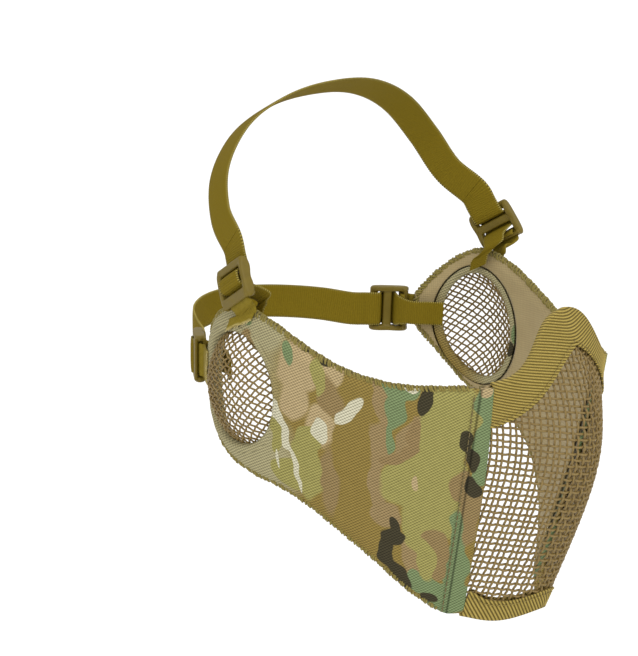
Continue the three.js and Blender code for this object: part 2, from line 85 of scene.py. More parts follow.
# ---------------------------------------------------------------- driving dimensions of the looks alone
CAMERA_TURN, CAMERA_DOWN, CAMERA_LENS = 50, 12, 176.7      # degrees, degrees and mm
CAMERA_RIGHT, CAMERA_UP, CAMERA_BACK = -20.9, 13.5, 1400
WORLD_LIGHT, KEY_LIGHT, SIDE_LIGHT, BACK_LIGHT = 0.72, 1.25, 0.5, 0.4
FLOOR_HALF, FLOOR_LEVEL = 9000, -330
CLOTH_SLANT, CLOTH_AHEAD = 1.1, 1.35      # how the flat cloth follows the seam, and runs ahead of it

# wires: the front's plain weave, and the ear covers' weave on the slant
ROW_PITCH, COLUMN_PITCH, ROW_RISE, WIRE_RADIUS, WEAVE_HEIGHT = 2.86, 2.65, 0.13, 0.52, 0.48
EAR_PITCH, EAR_WIRE, EAR_SEAT, EAR_BIAS = 2.2, 0.42, -1.2, math.radians(42)
EAR_LIP = [(1.5, 2.42), (0.9, 2.62), (0.2, 2.72), (-0.6, 2.6), (-1.2, 2.1), (-1.6, 1.2), (-1.75, 0),
           (-1.7, -1.6), (-1.2, -2.9), (0.2, -3.1), (1.6, -2.95), (1.6, -2.6), (0.2, -2.6), (-0.8, -2.2),
           (-1.1, -1.2), (-1.1, 0), (-0.9, 1.1), (-0.4, 1.6), (0.4, 1.7), (1.5, 1.7)]      # outwards, height

# tape, cloth and thread: heights are over the middle surface of the panel or the mesh
TAPE_RIB, TAPE_NEAR, TAPE_THICK, TAPE_TURN, TAPE_STEP = 1.2, 0.35, 0.72, 1.2, 0.24
SHELL_OUT, SHELL_THICK, LINING_OUT, LINING_THICK, FOAM_HALF = 2.4, 0.7, -1.7, 0.6, 1.35
EAR_SPLIT = 0.52      # the rows of the cloth run straight as far as here, and round the ear beyond
HEM_STEPS = [-HEM_WIDTH, -4.9, -4.6, -4, -3.2, -2.4, -1.6, -0.8, -0.2]
HEM_OUTSIDE = [(-4.7, 1.5), (-4.1, 1.3), (-3.6, 1.0), (-3.1, 1.3), (-2.5, 1.5), (-1.5, 1.45), (-0.3, 1.1),
               (0, 0), (-0.3, -1.5), (-1.5, -1.8), (-3, -1.85), (-4.7, -1.7)]      # behind the seam, height
HEM_INSIDE = [(-4.7, 0.92), (-4.1, 0.92), (-3.6, 0.8), (-3.1, 0.92), (-2.5, 0.92), (-1.5, 0.92), (-0.8, 0.7),
              (-0.7, 0), (-0.8, -0.8), (-1.5, -0.95), (-3, -0.95), (-4.7, -0.95)]
FOLD_AT, FOLD_OVER = np.array([38.6, -82.8, -41.5]), np.array([0.691, 0.706, 0.098])
FOLD_START, FOLD_END = 0.8, 8      # distances behind the fold at which across_fold works out the fold's ends
OVERLOCK_PITCH, OVERLOCK_OUT, OVERLOCK_UP, OVERLOCK_THREAD, EDGE_INSET = 1.3, 1.1, 1.3, 0.48, 0.5

# webbing and buckles: a place is an origin, a direction along the strap and one out from the head;
# profiles are along and out in a buckle's frame, rows are y and z on the panel, routes are x, y and z
TOP_PLACE = [90.6, -5.5, 41.4], [-0.22, 0.45, 0.86], [0.95, 0.3, 0.1]
REAR_PLACE = [69.5, 35.2, 7], [-0.7, 0.715, 0.04], [0.715, 0.7, 0]
THREAD = [[3.9, -2.4], [4.3, 0.6], [5.4, 2.5], [7.6, 2.8], [9.8, 2.5], [10.6, 1.1], [10.9, -0.8],
          [11.4, -2.4], [13, -3.1], [18, -3.1]]
TOP_EXIT = [[0.4, -12.8], [2.7, -9.2], [3.6, -5.2]]
REAR_EXIT = [[-5.6, -10.8], [-0.5, -8.1], [2.8, -4.9]]
TAB_LOOP = [[-3.2, -1.6], [-1.6, -0.2], [0, -0.1], [1.1, -0.6], [1.6, -2.05], [1.1, -3.5], [0.2, -4]]
TOP_TAB_ROWS = [[-1.6, 29], [-2.6, 31], [-3.4, 32.7], [-4.4, 34.4]]
REAR_TAB_ROWS = [[20, 6.6], [23, 6.7], [25.5, 6.8]]
TOP_TAIL_ROWS = [[-1.5, 29.8], [-2.2, 32.2], [-3, 34.6]]
REAR_TAIL_ROWS = [[18.5, 6.5], [22, 6.6], [26, 6.9]]
TAIL_HEIGHT, TAB_HEIGHT, TAIL_NARROW = -6.2, 3.3, 0.7
TAB_FLARE = {"top": 0.03, "rear": 0.02}
NECK_END = {"top": 26, "rear": 18}      # where a strap is clear of its buckle
HALF_STILL = {"top": 0.75, "rear": 0.56}      # share of a half at which the point marking its far limit is taken
TOP_ROUTE = [[77, 16, 72], [69, 23.5, 88], [53, 26, 104], [29, 25, 114], [0, 24, 117]]
REAR_ROUTE = [[42, 62, 10], [30, 74, 11.5], [15, 82, 12.6], [0, 84.5, 13]]
CROWN_CENTRE, NAPE_CENTRE = np.array([0, -22.0, 30]), np.array([0, 10.0, 10])
STRAP_RIB, STRAP_STEP, STRAP_POINTS = 0.95, 0.24, 11
BUCKLE_BARS = [[-0.4, -2.05, 0.9, 0.9, 0.85], [0.1, 1.65, 2.3, 0.75, 0.7], [7.6, 0, 2.0, 1.5, 0.9],
               [13.8, 0.1, 1.8, 1.6, 1.0]]      # along, out, half length, half height, corner
VOXEL, EASE_FACTOR, EASE_ROUNDS = 0.28, 0.6, 10      # how the buckle's parts are fused and smoothed

# ---------------------------------------------------------------- small tools
def lerp(a, b, t):
    return a + (b - a) * t


def vec(x, y, z):
    return np.array([x, y, z], float)


def unit(v):
    return v / np.maximum(np.linalg.norm(v, axis=-1, keepdims=True), 1e-12)


def smooth(a, b, t):
    s = np.clip((t - a) / (b - a), 0, 1)
    return s * s * (3 - 2 * s)


def arch(x, half, soft):
    return 1 / (1 + np.exp((np.abs(x) - half) / soft))


def through(points, t):
    """Smooth curve through [t, value] points, for an array of t."""
    at, value = np.array(points, float).T
    slope = np.gradient(value, at)
    slope[1:-1] = (value[2:] - value[:-2]) / (at[2:] - at[:-2])
    i = np.clip(np.searchsorted(at, t, side="right") - 1, 0, len(at) - 2)
    w = at[i + 1] - at[i]
    s = np.clip((t - at[i]) / w, 0, 1)
    rise = value[i + 1] - value[i]
    a = slope[i] * w - rise
    b = -slope[i + 1] * w + rise
    return value[i] + rise * s + s * (1 - s) * (a * (1 - s) + b * s)


def spline(points, step):
    """Centripetal Catmull-Rom curve through points, sampled evenly about every step."""
    p = np.array(points, float)
    p = np.vstack([2 * p[0] - p[1], p, 2 * p[-1] - p[-2]])
    dense = []
    for k in range(1, len(p) - 2):
        p0, p1, p2, p3 = p[k - 1:k + 3]
        t1 = np.linalg.norm(p1 - p0) ** 0.5
        t2 = t1 + np.linalg.norm(p2 - p1) ** 0.5
        t3 = t2 + np.linalg.norm(p3 - p2) ** 0.5
        t = np.linspace(t1, t2, 24, endpoint=False)[:, None]
        a1 = (t1 - t) / t1 * p0 + t / t1 * p1
        a2 = (t2 - t) / (t2 - t1) * p1 + (t - t1) / (t2 - t1) * p2
        a3 = (t3 - t) / (t3 - t2) * p2 + (t - t2) / (t3 - t2) * p3
        b1 = (t2 - t) / t2 * a1 + t / t2 * a2
        b2 = (t3 - t) / (t3 - t1) * a2 + (t - t1) / (t3 - t1) * a3
        dense.append((t2 - t) / (t2 - t1) * b1 + (t - t1) / (t2 - t1) * b2)
    dense = np.vstack([*dense, p[-2:-1]])
    run = lengths(dense)
    return resample(dense, np.linspace(0, run[-1], max(int(run[-1] / step), 2) + 1))


def lengths(path):
    return np.concatenate([[0], np.cumsum(np.linalg.norm(np.diff(path, axis=0), axis=1))])


def resample(path, at):
    run = lengths(path)
    return np.stack([np.interp(at, run, path[:, k]) for k in range(path.shape[1])], -1)


# ---------------------------------------------------------------- the form of the mask
def ridge_y(z):
    return RIDGE_Y - RIDGE_LEAN * (np.hypot(z - RIDGE_Z, RIDGE_BEND) - RIDGE_BEND)


def seam(z):
    """x and y of the left seam at a height."""
    t = (SEAM_TOP[2] - np.minimum(z, SEAM_TOP[2])) / (SEAM_TOP[2] - SEAM_BOTTOM[2])
    bow = SEAM_BOW * 4 * t * (1 - t)
    x = lerp(SEAM_TOP[0], SEAM_BOTTOM[0], t) + bow * BOW_ACROSS
    return x, lerp(SEAM_TOP[1], SEAM_BOTTOM[1], t) - bow * BOW_BACK


def front(x, z):
    x, z = np.broadcast_arrays(np.asarray(x, float), np.asarray(z, float))
    sx, sy = seam(z)
    run = lambda d: np.hypot(d, RIDGE_ROUND) - RIDGE_ROUND
    slope = (ridge_y(z) + sy) / run(sx)
    return np.stack([x, slope * run(x) - ridge_y(z), z], -1)


def cheek(s, z):
    """Left side: s runs from the seam, 0, to the rear edge, 1."""
    s, z = np.broadcast_arrays(np.asarray(s, float), np.asarray(z, float))
    sx, sy = seam(z)
    y = lerp(sy, REAR_Y, s)
    wide = HALF_WIDTH - WIDTH_TAPER * (z - WIDTH_Z) ** 2
    ahead = wide - (wide - sx) * np.maximum(y / sy, 0) ** CHEEK_POWER
    behind = wide - REAR_TUCK * (np.maximum(y, 0) / REAR_Y) ** 2.2
    return np.stack([np.where(y < 0, ahead, behind), y, z], -1)


def lift(surface, a, b, height):
    step = 0.2 if surface is front else 0.002
    p = surface(a, b)
    across = surface(a + step, b) - surface(a - step, b)
    up = surface(a, b + 0.2) - surface(a, b - 0.2)
    return p + unit(np.cross(across, up)) * np.asarray(height, float)[..., None]


def on_panel(y, z, height):
    sy = seam(z)[1]
    return lift(cheek, (y - sy) / (REAR_Y - sy), z, height)


def mesh_top(x):
    return EDGE_Z + NOSE_RISE * arch(x, NOSE_HALF, NOSE_SOFT)


def tape_foot(x):
    return TAPE_Z + TAPE_DROP * arch(x, TAPE_HALF, TAPE_SOFT)


def mesh_bottom(x):
    return CHIN_Z - CHIN_SAG * np.sin(np.pi * np.minimum(np.abs(x) / SEAM_BOTTOM[0], 1)) ** 2


def panel_z(u, v):
    return lerp(through(PANEL_BOTTOM, u), through(PANEL_TOP, u), v)


def panel_s(u, z):
    return lerp(HINGE_GAP / (REAR_Y - seam(z)[1]), 1, u)


def ear_turn(a, b):
    """y and z of a place a and b mm from the middle of the ear opening, in the opening's own directions."""
    return (EAR_Y + a * math.cos(EAR_TILT) + b * math.sin(EAR_TILT),
            EAR_Z - a * math.sin(EAR_TILT) + b * math.cos(EAR_TILT))


def ear_rim(angle, grow):
    return ear_turn(np.cos(angle) * (EAR_RY + grow), np.sin(angle) * (EAR_RZ + grow))


def cloth_uv(points):
    """Where a point of the left side lies on the flat cloth, in mm from the top of the seam."""
    y, z = points[..., 1], points[..., 2]
    sy = seam(z)[1]
    s = np.clip((y - sy) / (REAR_Y - sy), 0, 1)
    steps = [cheek(s * k / 16, z) for k in range(17)]
    run = sum(np.linalg.norm(b - a, axis=-1) for a, b in zip(steps, steps[1:]))
    ahead = np.minimum(y - sy, 0) * CLOTH_AHEAD
    return np.stack([run + ahead + (sy - SEAM_TOP[1]) * CLOTH_SLANT, z], -1)


# ---------------------------------------------------------------- mesh builders
def add_mesh(name, points, faces, material, uv=None):
    mesh = bpy.data.meshes.new(name)
    points = np.asarray(points, float).reshape(-1, 3) * MM
    faces = np.asarray(faces, np.int32).reshape(-1, 4)
    mesh.vertices.add(len(points))
    mesh.vertices.foreach_set("co", points.ravel())
    mesh.loops.add(faces.size)
    mesh.loops.foreach_set("vertex_index", faces.ravel())
    mesh.polygons.add(len(faces))
    mesh.polygons.foreach_set("loop_start", np.arange(0, faces.size, 4, dtype=np.int32))
    mesh.polygons.foreach_set("use_smooth", np.ones(len(faces), bool))
    if uv is not None:
        layer = mesh.uv_layers.new(name="cloth")
        layer.data.foreach_set("uv", np.asarray(uv, float).reshape(-1, 2)[faces.ravel()].ravel())
    mesh.update(calc_edges=True)
    mesh.validate()
    mesh.materials.append(material)
    obj = bpy.data.objects.new(name, mesh)
    bpy.context.scene.collection.objects.link(obj)
    return obj


def mirror(points, faces):
    """The right-hand copy of left-hand points and faces."""
    return points * [-1, 1, 1], faces[:, ::-1]


def grid(nu, nv, close_u=False, close_v=False):
    """Faces of a grid of nu by nv points."""
    i = np.arange(nu if close_u else nu - 1)[:, None]
    j = np.arange(nv if close_v else nv - 1)[None, :]
    at = lambda a, b: (a % nu) * nv + b % nv
    return np.stack([at(i, j), at(i + 1, j), at(i + 1, j + 1), at(i, j + 1)], -1).reshape(-1, 4)


def skin(rings):
    """Closed solid through rings; each ring runs out along one face and back along the other."""
    n, m = rings.shape[:2]
    k = np.arange(m // 2 - 1)
    first = np.stack([k, k + 1, m - 2 - k, m - 1 - k], -1)
    return rings.reshape(-1, 3), np.vstack([grid(n, m, close_v=True), first, (n - 1) * m + first[:, ::-1]])


def joined(parts):
    """Several (points, faces) as one."""
    points, faces, count = [], [], 0
    for p, f in parts:
        points.append(p)
        faces.append(f + count)
        count += len(p)
    return np.vstack(points), np.vstack(faces)


def wire(path, normal, radius, sides=6):
    """Round wire along a path, with flat ends."""
    along = unit(np.gradient(path, axis=0))
    side = unit(np.cross(along, normal))
    up = np.cross(side, along)
    a = np.arange(sides) / sides * 2 * np.pi
    ring = np.cos(a)[None, :, None] * up[:, None] + np.sin(a)[None, :, None] * side[:, None]
    return skin(path[:, None] + radius * ring)


def band(path, across, out, width):
    """Strap webbing along a path: transverse ribs as relief on both faces, and slightly serrated edges."""
    w = np.linspace(-1, 1, STRAP_POINTS)[None, :]
    run = lengths(path)
    ribs = np.cos(2 * np.pi * run / STRAP_RIB)[:, None]
    half = STRAP_THICK / 2 + 0.07 * (ribs - 1) * (1 - w ** 8) - 0.25 * w ** 4
    serrated = 1 + 0.012 * ribs * (np.abs(w) > 0.99)
    reach = np.broadcast_to(width, run.shape)[:, None] / 2 * w * serrated
    middle = path[:, None] + across[:, None] * reach[..., None]
    raised = out[:, None] * half[..., None]
    return skin(np.concatenate([middle + raised, (middle - raised)[:, ::-1]], axis=1))


def stitches(path, normal, length=2.3, gap=1.0, radius=0.22):
    """A row of sewn stitches along a path: small raised loops of thread."""
    run = lengths(path)
    swell = (np.sin(np.linspace(0, np.pi, 6)) - 0.75) * radius * 1.5
    parts = []
    start = gap / 2
    while start + length < run[-1]:
        at = np.linspace(start, start + length, 6)
        n = unit(np.stack([np.interp(at, run, normal[:, k]) for k in range(3)], -1))
        parts.append(wire(resample(path, at) + n * swell[:, None], n, radius))
        start += length + gap
    return joined(parts)


def both_sides(name, shape, material, uv=None):
    """The left piece, from its points and faces, and its mirror image on the right."""
    made = {}
    for side, form in (("left", shape), ("right", mirror(*shape))):
        piece_material = material[side] if isinstance(material, dict) else material
        made[side] = add_mesh(f"{side}_{name}", *form, piece_material, uv)
    return made


# ---------------------------------------------------------------- camera, stage and light
def look_along(azimuth, elevation):
    """Right, up and forward of a camera that looks along an azimuth, from +Y towards +X, and down."""
    a, e = math.radians(azimuth), math.radians(elevation)
    forward = vec(math.sin(a) * math.cos(e), math.cos(a) * math.cos(e), -math.sin(e))
    right = vec(math.cos(a), -math.sin(a), 0)
    return right, np.cross(right, forward), forward


def place(obj, right, up, forward, at):
    obj.matrix_world = Matrix([[right[k], up[k], -forward[k], at[k] * MM] for k in range(3)] + [[0, 0, 0, 1]])


def make_camera():
    """A long lens at 1.4 m, from the front right of the wearer and a little above."""
    right, up, forward = look_along(CAMERA_TURN, CAMERA_DOWN)
    camera = bpy.data.cameras.new("camera")
    camera.lens = CAMERA_LENS
    camera.sensor_width = 36
    camera.clip_end = 20
    obj = bpy.data.objects.new("camera", camera)
    bpy.context.scene.collection.objects.link(obj)
    place(obj, right, up, forward, right * CAMERA_RIGHT + up * CAMERA_UP - forward * CAMERA_BACK)
    bpy.context.scene.camera = obj


def soft_sun(name, azimuth, elevation, spread, strength):
    """Soft light that shines along an azimuth and down, the same everywhere on the floor."""
    right, up, forward = look_along(azimuth, elevation)
    light = bpy.data.lights.new(name, "SUN")
    light.angle = math.radians(spread)
    light.energy = strength
    obj = bpy.data.objects.new(name, light)
    bpy.context.scene.collection.objects.link(obj)
    place(obj, right, up, forward, -forward * 1500)


def make_stage():
    world = bpy.data.worlds.new("studio")
    bpy.context.scene.world = world
    world.use_nodes = True
    world.node_tree.nodes["Background"].inputs["Color"].default_value = (1, 1, 1, 1)
    world.node_tree.nodes["Background"].inputs["Strength"].default_value = WORLD_LIGHT
    corners = [[x * FLOOR_HALF, y * FLOOR_HALF, FLOOR_LEVEL] for x, y in ((-1, -1), (1, -1), (1, 1), (-1, 1))]
    floor = add_mesh("floor", corners, [[0, 1, 2, 3]], plain("floor", srgb(252, 252, 252), 0.9))
    floor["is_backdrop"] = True
    soft_sun("key", 15, 48, 40, KEY_LIGHT)
    soft_sun("side", 80, 30, 50, SIDE_LIGHT)
    soft_sun("back", 215, 50, 60, BACK_LIGHT)
    bpy.context.scene.view_settings.view_transform = "Standard"


# ---------------------------------------------------------------- materials
def srgb(r, g, b):
    linear = [c / 255 / 12.92 if c < 11 else ((c / 255 + 0.055) / 1.055) ** 2.4 for c in (r, g, b)]
    return (*linear, 1)


def add(tree, kind, *values, output=0, **settings):
    """A node with its inputs filled in order, by links or values; gives one of its outputs."""
    node = tree.nodes.new("ShaderNode" + kind)
    for key, value in settings.items():
        setattr(node, key, value)
    for socket, value in zip(node.inputs, values):
        if isinstance(value, bpy.types.NodeSocket):
            tree.links.new(value, socket)
        elif value is not None:
            socket.default_value = value
    return node.outputs[output]


def new_material(name, roughness, sheen=0.0, specular=0.5):
    material = bpy.data.materials.new(name)
    material.use_nodes = True
    shader = material.node_tree.nodes["Principled BSDF"]
    shader.inputs["Roughness"].default_value = roughness
    shader.inputs["Specular IOR Level"].default_value = specular
    shader.inputs["Sheen Weight"].default_value = sheen
    shader.inputs["Sheen Roughness"].default_value = 0.5
    return material, material.node_tree


def plain(name, colour, roughness):
    material, tree = new_material(name, roughness)
    tree.nodes["Principled BSDF"].inputs["Base Color"].default_value = colour
    return material


def math_node(tree, operation, *values):
    return add(tree, "Math", *values, operation=operation)


def flat_place(tree):
    """The cloth's own flat coordinates, in mm, and its two parts."""
    uv = add(tree, "UVMap", uv_map="cloth")
    split = tree.nodes.new("ShaderNodeSeparateXYZ")
    tree.links.new(uv, split.inputs[0])
    return uv, split.outputs[0], split.outputs[1]


def noise(tree, place_socket, scale, detail=2.0):
    """Noise from 0 to 1, with scale in features per unit of the place."""
    return add(tree, "TexNoise", place_socket, None, scale, detail)


def object_place(tree):
    """The place in the row frame, in mm."""
    metres = add(tree, "TexCoord", output="Object")
    return add(tree, "VectorMath", metres, (1000, 1000, 1000), operation="MULTIPLY")


def wave(tree, value, pitch):
    """A cosine of a length, from 0 to 1."""
    turned = math_node(tree, "MULTIPLY", value, 2 * math.pi / pitch)
    return math_node(tree, "MULTIPLY_ADD", math_node(tree, "COSINE", turned), 0.5, 0.5)


def mixed(tree, factor, a, b, blend="MIX"):
    return add(tree, "MixRGB", factor, a, b, blend_type=blend)


def shade(tree, colour, value, low, high):
    """The colour darkened or lightened between two factors as value runs from 0 to 1."""
    factor = math_node(tree, "MULTIPLY_ADD", value, high - low, low)
    return mixed(tree, 1.0, colour, add(tree, "CombineXYZ", factor, factor, factor), "MULTIPLY")


def coloured(material, colour, relief=None, strength=0.0, depth_mm=0.0, roughness=None):
    """The material with its colour, and with a relief and a varied roughness where it has them."""
    tree = material.node_tree
    shader = tree.nodes["Principled BSDF"]
    tree.links.new(colour, shader.inputs["Base Color"])
    if roughness is not None:
        tree.links.new(roughness, shader.inputs["Roughness"])
    if relief is not None:
        node = tree.nodes.new("ShaderNodeBump")
        node.inputs["Strength"].default_value = strength
        node.inputs["Distance"].default_value = depth_mm * MM
        tree.links.new(relief, node.inputs["Height"])
        tree.links.new(node.outputs[0], shader.inputs["Normal"])
    return material


def thread_rows(tree, uv, pitch, angle):
    """Parallel threads, from 0 in the gaps to 1 on the crowns; the angle is of the step from row to row."""
    step = (math.cos(math.radians(angle)), math.sin(math.radians(angle)), 0)
    return wave(tree, add(tree, "VectorMath", uv, step, operation="DOT_PRODUCT", output="Value"), pitch)


def weave(tree, uv, pitch, warp_angle, weft_angle, weft_share=0.35):
    """Two sets of threads through each other, from 0 in the gaps to 1 on the crowns."""
    warp = math_node(tree, "MULTIPLY", thread_rows(tree, uv, pitch, warp_angle), 1 - weft_share)
    return math_node(tree, "MULTIPLY_ADD", thread_rows(tree, uv, pitch, weft_angle), weft_share, warp)


# blots of the printed pattern on a side panel, colour by colour from the ground up:
# [mm behind the top of the seam, height, half length, half width, turn in degrees]
CAMO_GROUND = srgb(136, 116, 60)
LIME, GREEN, BROWN = srgb(150, 143, 83), srgb(116, 132, 91), srgb(140, 119, 79)
DARK, CREAM, TAN = srgb(63, 58, 41), srgb(196, 191, 164), srgb(173, 153, 113)
CAMO = [
    # grey-green that fades in towards the ear
    (srgb(160, 152, 115), 0.5, [[114, 12, 28, 34, 0], [102, -24, 24, 20, 10], [94, 30, 16, 12, 0]]),
    # pinkish tan ahead of the ear, and the strip below it
    (TAN, 0.22, [[76, 14, 9, 11, 0], [78, 0, 7, 8, 0], [61, 13, 5, 6, 10], [67, -9, 5.5, 8.5, 0]]),
    (BROWN, 0.25, [[66, -32, 15, 4, 95], [62, 4, 9, 5, 80]]),
    (srgb(146, 125, 86), 0.16, [[40.5, 4, 3, 14, 0], [43, -16, 4, 10, 0], [46.5, -33, 4, 12, 0],
                                [45, -46, 7, 6, 0], [38, -66, 3.4, 11, 0], [31, -12, 4.5, 12, 35]]),
    # lime
    (LIME, 0.12, [[12, 0, 13, 11, 0], [17, -12, 12, 12, 0], [25, -28, 15, 12, 0], [34, -33, 11, 10, 0],
                  [24, -44, 13, 13, 0], [32, -55, 8, 11, 0], [33, -68, 3.8, 12, 0],
                  [75, -27, 6.5, 13, 0], [73, -15, 5, 5, 0], [84, -31, 8, 5, 20], [66, 12, 2.6, 9, 0],
                  [87, -14, 3.2, 8, 0]]),
    # brown bow that cuts the lime
    (srgb(140, 118, 79), 0.16, [[29, -9, 2.2, 7, 8], [32.5, -17, 2.4, 5, 50], [38.5, -21, 5.5, 2.2, -20]]),
    # mid green
    (GREEN, 0.12, [[32, 9, 8, 4.5, 0], [35, 1, 4.2, 9, 15], [39, -12, 1.8, 7, 12],
                   [-1.5, 0, 4.4, 10, 0], [0.8, -13, 4, 11, 12], [3, -26, 4, 8, 10],
                   [16, -55, 4.4, 10, 12], [20, -70, 5.6, 12, 12], [26, -85, 12, 8, 0],
                   [33, -79, 6, 4.4, 0], [38.5, -77, 2.8, 5, 0], [79.5, 20.5, 2.7, 4.8, 0],
                   [99, -8, 2, 6, 10], [101, 33, 5, 2.4, 20]]),
    # brown beside the seam, and the hook low on the panel
    (BROWN, 0.14, [[12.5, -34, 4.8, 7, 15], [10.5, -47, 4, 13, 10], [26, -62, 4.2, 9, 0],
                   [28, -56.5, 4, 3, 0], [27.5, -71, 4, 4.6, 0], [99, 20, 4, 9, 10]]),
    (LIME, 0.12, [[32.6, -67, 4.2, 10, 0]]),
    (TAN, 0.1, [[31.6, -31.6, 1.7, 3.2, 0], [-1.6, 7.6, 2.4, 2, 0]]),
    # dark brown
    (DARK, 0.1, [[22, 4.6, 3, 6.8, 24], [8, -13.4, 3, 5, 0], [6.6, -22.5, 2.6, 6, 5], [7.6, -33.6, 3, 3.6, 0],
                 [42.6, -52, 2, 4, 10], [44.2, -57, 4.6, 4.6, 0], [47, -63, 3.8, 7, 8],
                 [44, -73, 3.2, 7.5, -25], [35.2, -84.4, 4, 2.7, 20], [62.6, 18.6, 2.7, 2.3, 0],
                 [72, 22.4, 2, 1.7, 0], [103, -16, 2.6, 4, 0]]),
    # cream
    (CREAM, 0.07, [[54.8, -2.2, 8.8, 3.2, -42], [67.6, -11.6, 3, 5, -8], [28, 9, 3.4, 1.4, 0],
                   [86, -6, 1.9, 6, -18], [83, -15, 2.2, 7, -10],
                   [80.4, -28, 1, 10, -8], [86.6, -25, 0.7, 5, 0]]),
]


def seam_distance(tree):
    """How far a place on the cloth is from the seam line: 0 on the line, 1 from about a millimetre away; it
    masks the painted shade along the seam.
    """
    _, behind, height = flat_place(tree)
    tall = SEAM_TOP[2] - SEAM_BOTTOM[2]
    down = math_node(tree, "MULTIPLY_ADD", height, -1 / tall, SEAM_TOP[2] / tall)
    bowed = math_node(tree, "MULTIPLY", math_node(tree, "SUBTRACT", 1.0, down), down)
    bow = math_node(tree, "MULTIPLY", bowed, -CLOTH_SLANT * BOW_BACK * 4 * SEAM_BOW)
    line = math_node(tree, "MULTIPLY_ADD", down, CLOTH_SLANT * (SEAM_BOTTOM[1] - SEAM_TOP[1]), bow)
    away = math_node(tree, "ABSOLUTE", math_node(tree, "SUBTRACT", behind, line))
    return add(tree, "MapRange", away, 0.2, 0.75, 0.0, 1.0)


def camo_cloth(name, shift):
    """Coarse nylon printed with soft-edged blots. The shift moves the pattern, so that the sides differ."""
    material, tree = new_material(name, 0.86, specular=0.12)
    uv, _, _ = flat_place(tree)
    moved = add(tree, "VectorMath", uv, shift, operation="ADD")
    wobble = add(tree, "TexNoise", moved, None, 0.1, 0.6, output="Color")
    spread = add(tree, "VectorMath", wobble, (0.5, 0.5, 0.5), operation="SUBTRACT")
    spread = add(tree, "VectorMath", spread, (7, 7, 0), operation="MULTIPLY")
    place_socket = add(tree, "VectorMath", moved, spread, operation="ADD")
    colour = CAMO_GROUND
    for tint, soft, blots in CAMO:
        inside = None
        for x, y, half_x, half_y, turn in blots:
            fitted = add(tree, "Mapping", place_socket, (x, y, 0), (0, 0, math.radians(turn)),
                         (half_x, half_y, 1), vector_type="TEXTURE")
            away = add(tree, "VectorMath", fitted, operation="LENGTH", output="Value")
            within = math_node(tree, "SUBTRACT", 1.0, away)
            inside = within if inside is None else math_node(tree, "SMOOTH_MAX", inside, within, 0.25)
        cover = add(tree, "MapRange", inside, -soft * 0.5, soft * 0.5, 0.0, 1.0)
        colour = mixed(tree, cover, colour, tint)
    threads = weave(tree, uv, 1.05, 65, -37)
    fade = noise(tree, uv, 0.3, 4)
    colour = shade(tree, colour, fade, 0.9, 1.1)
    # painted shade: the cloth is darkened along the seam line, where the groove of the seam lies in shade
    colour = shade(tree, colour, seam_distance(tree), 0.42, 1.0)
    colour = shade(tree, colour, threads, 0.46, 1.36)
    return coloured(material, colour, threads, 0.6, 0.3)


def ribbed_tape():
    """Ribs of twisted yarn, with painted shade in the gaps between them and painted light on their crowns.
    Its flat place is along, and the ribs' phase.
    """
    material, tree = new_material("grosgrain tape", 0.8, specular=0.15)
    uv, along, phase = flat_place(tree)
    ribs = wave(tree, phase, TAPE_RIB)
    yarn = wave(tree, math_node(tree, "MULTIPLY_ADD", phase, 1.6, along), 0.85)
    fleck = noise(tree, uv, 1.6, 3)
    colour = mixed(tree, fleck, srgb(144, 122, 52), srgb(184, 164, 92))
    # painted shade in the gaps between the ribs and painted light on their crowns
    colour = shade(tree, colour, ribs, 0.3, 1.3)
    colour = shade(tree, colour, yarn, 0.5, 1.35)
    return coloured(material, colour, yarn, 0.5, 0.14)


def elastic():
    """Olive-gold elastic: fine ribs across, paler serrated edges. Its flat place is across and along."""
    material, tree = new_material("elastic webbing", 0.8, specular=0.12)
    uv, across, along = flat_place(tree)
    ribs = wave(tree, along, STRAP_RIB)
    yarns = wave(tree, across, 0.62)
    fleck = noise(tree, uv, 1.2, 3)
    colour = mixed(tree, fleck, srgb(110, 92, 10), srgb(130, 111, 22))
    colour = shade(tree, colour, math_node(tree, "MULTIPLY", ribs, yarns), 0.86, 1.12)
    edge = add(tree, "MapRange", math_node(tree, "ABSOLUTE", across), 6.7, 7.2, 0.0, 1.0)
    loops = math_node(tree, "MULTIPLY", edge, math_node(tree, "GREATER_THAN", ribs, 0.45))
    colour = mixed(tree, edge, colour, srgb(80, 67, 16))
    colour = mixed(tree, loops, colour, srgb(160, 144, 70))
    return coloured(material, colour, math_node(tree, "ADD", ribs, yarns), 0.4, 0.12)


def smooth_webbing():
    """The tabs' webbing, closer woven, with a pale worn end."""
    material, tree = new_material("tab webbing", 0.75, specular=0.15)
    uv, _, along = flat_place(tree)
    fleck = noise(tree, uv, 0.5, 4)
    colour = mixed(tree, fleck, srgb(112, 95, 16), srgb(142, 124, 38))
    frayed = add(tree, "MapRange", math_node(tree, "MULTIPLY_ADD", fleck, 2.2, along), 1.3, 2.4, 1.0, 0.0)
    colour = mixed(tree, frayed, colour, srgb(172, 156, 94))
    twill = weave(tree, uv, 0.8, 45, -45, 0.5)
    colour = shade(tree, colour, twill, 0.86, 1.08)
    return coloured(material, colour, twill, 0.35, 0.12)


def moulded_plastic():
    material, tree = new_material("moulded plastic", 0.5, specular=0.3)
    place_socket = object_place(tree)
    cloud = noise(tree, place_socket, 0.25, 3)
    grain = noise(tree, place_socket, 6, 2)
    colour = mixed(tree, cloud, srgb(98, 82, 18), srgb(118, 101, 30))
    colour = shade(tree, colour, grain, 0.94, 1.06)
    rough = math_node(tree, "MULTIPLY_ADD", cloud, 0.25, 0.4)
    return coloured(material, colour, grain, 0.15, 0.08, rough)


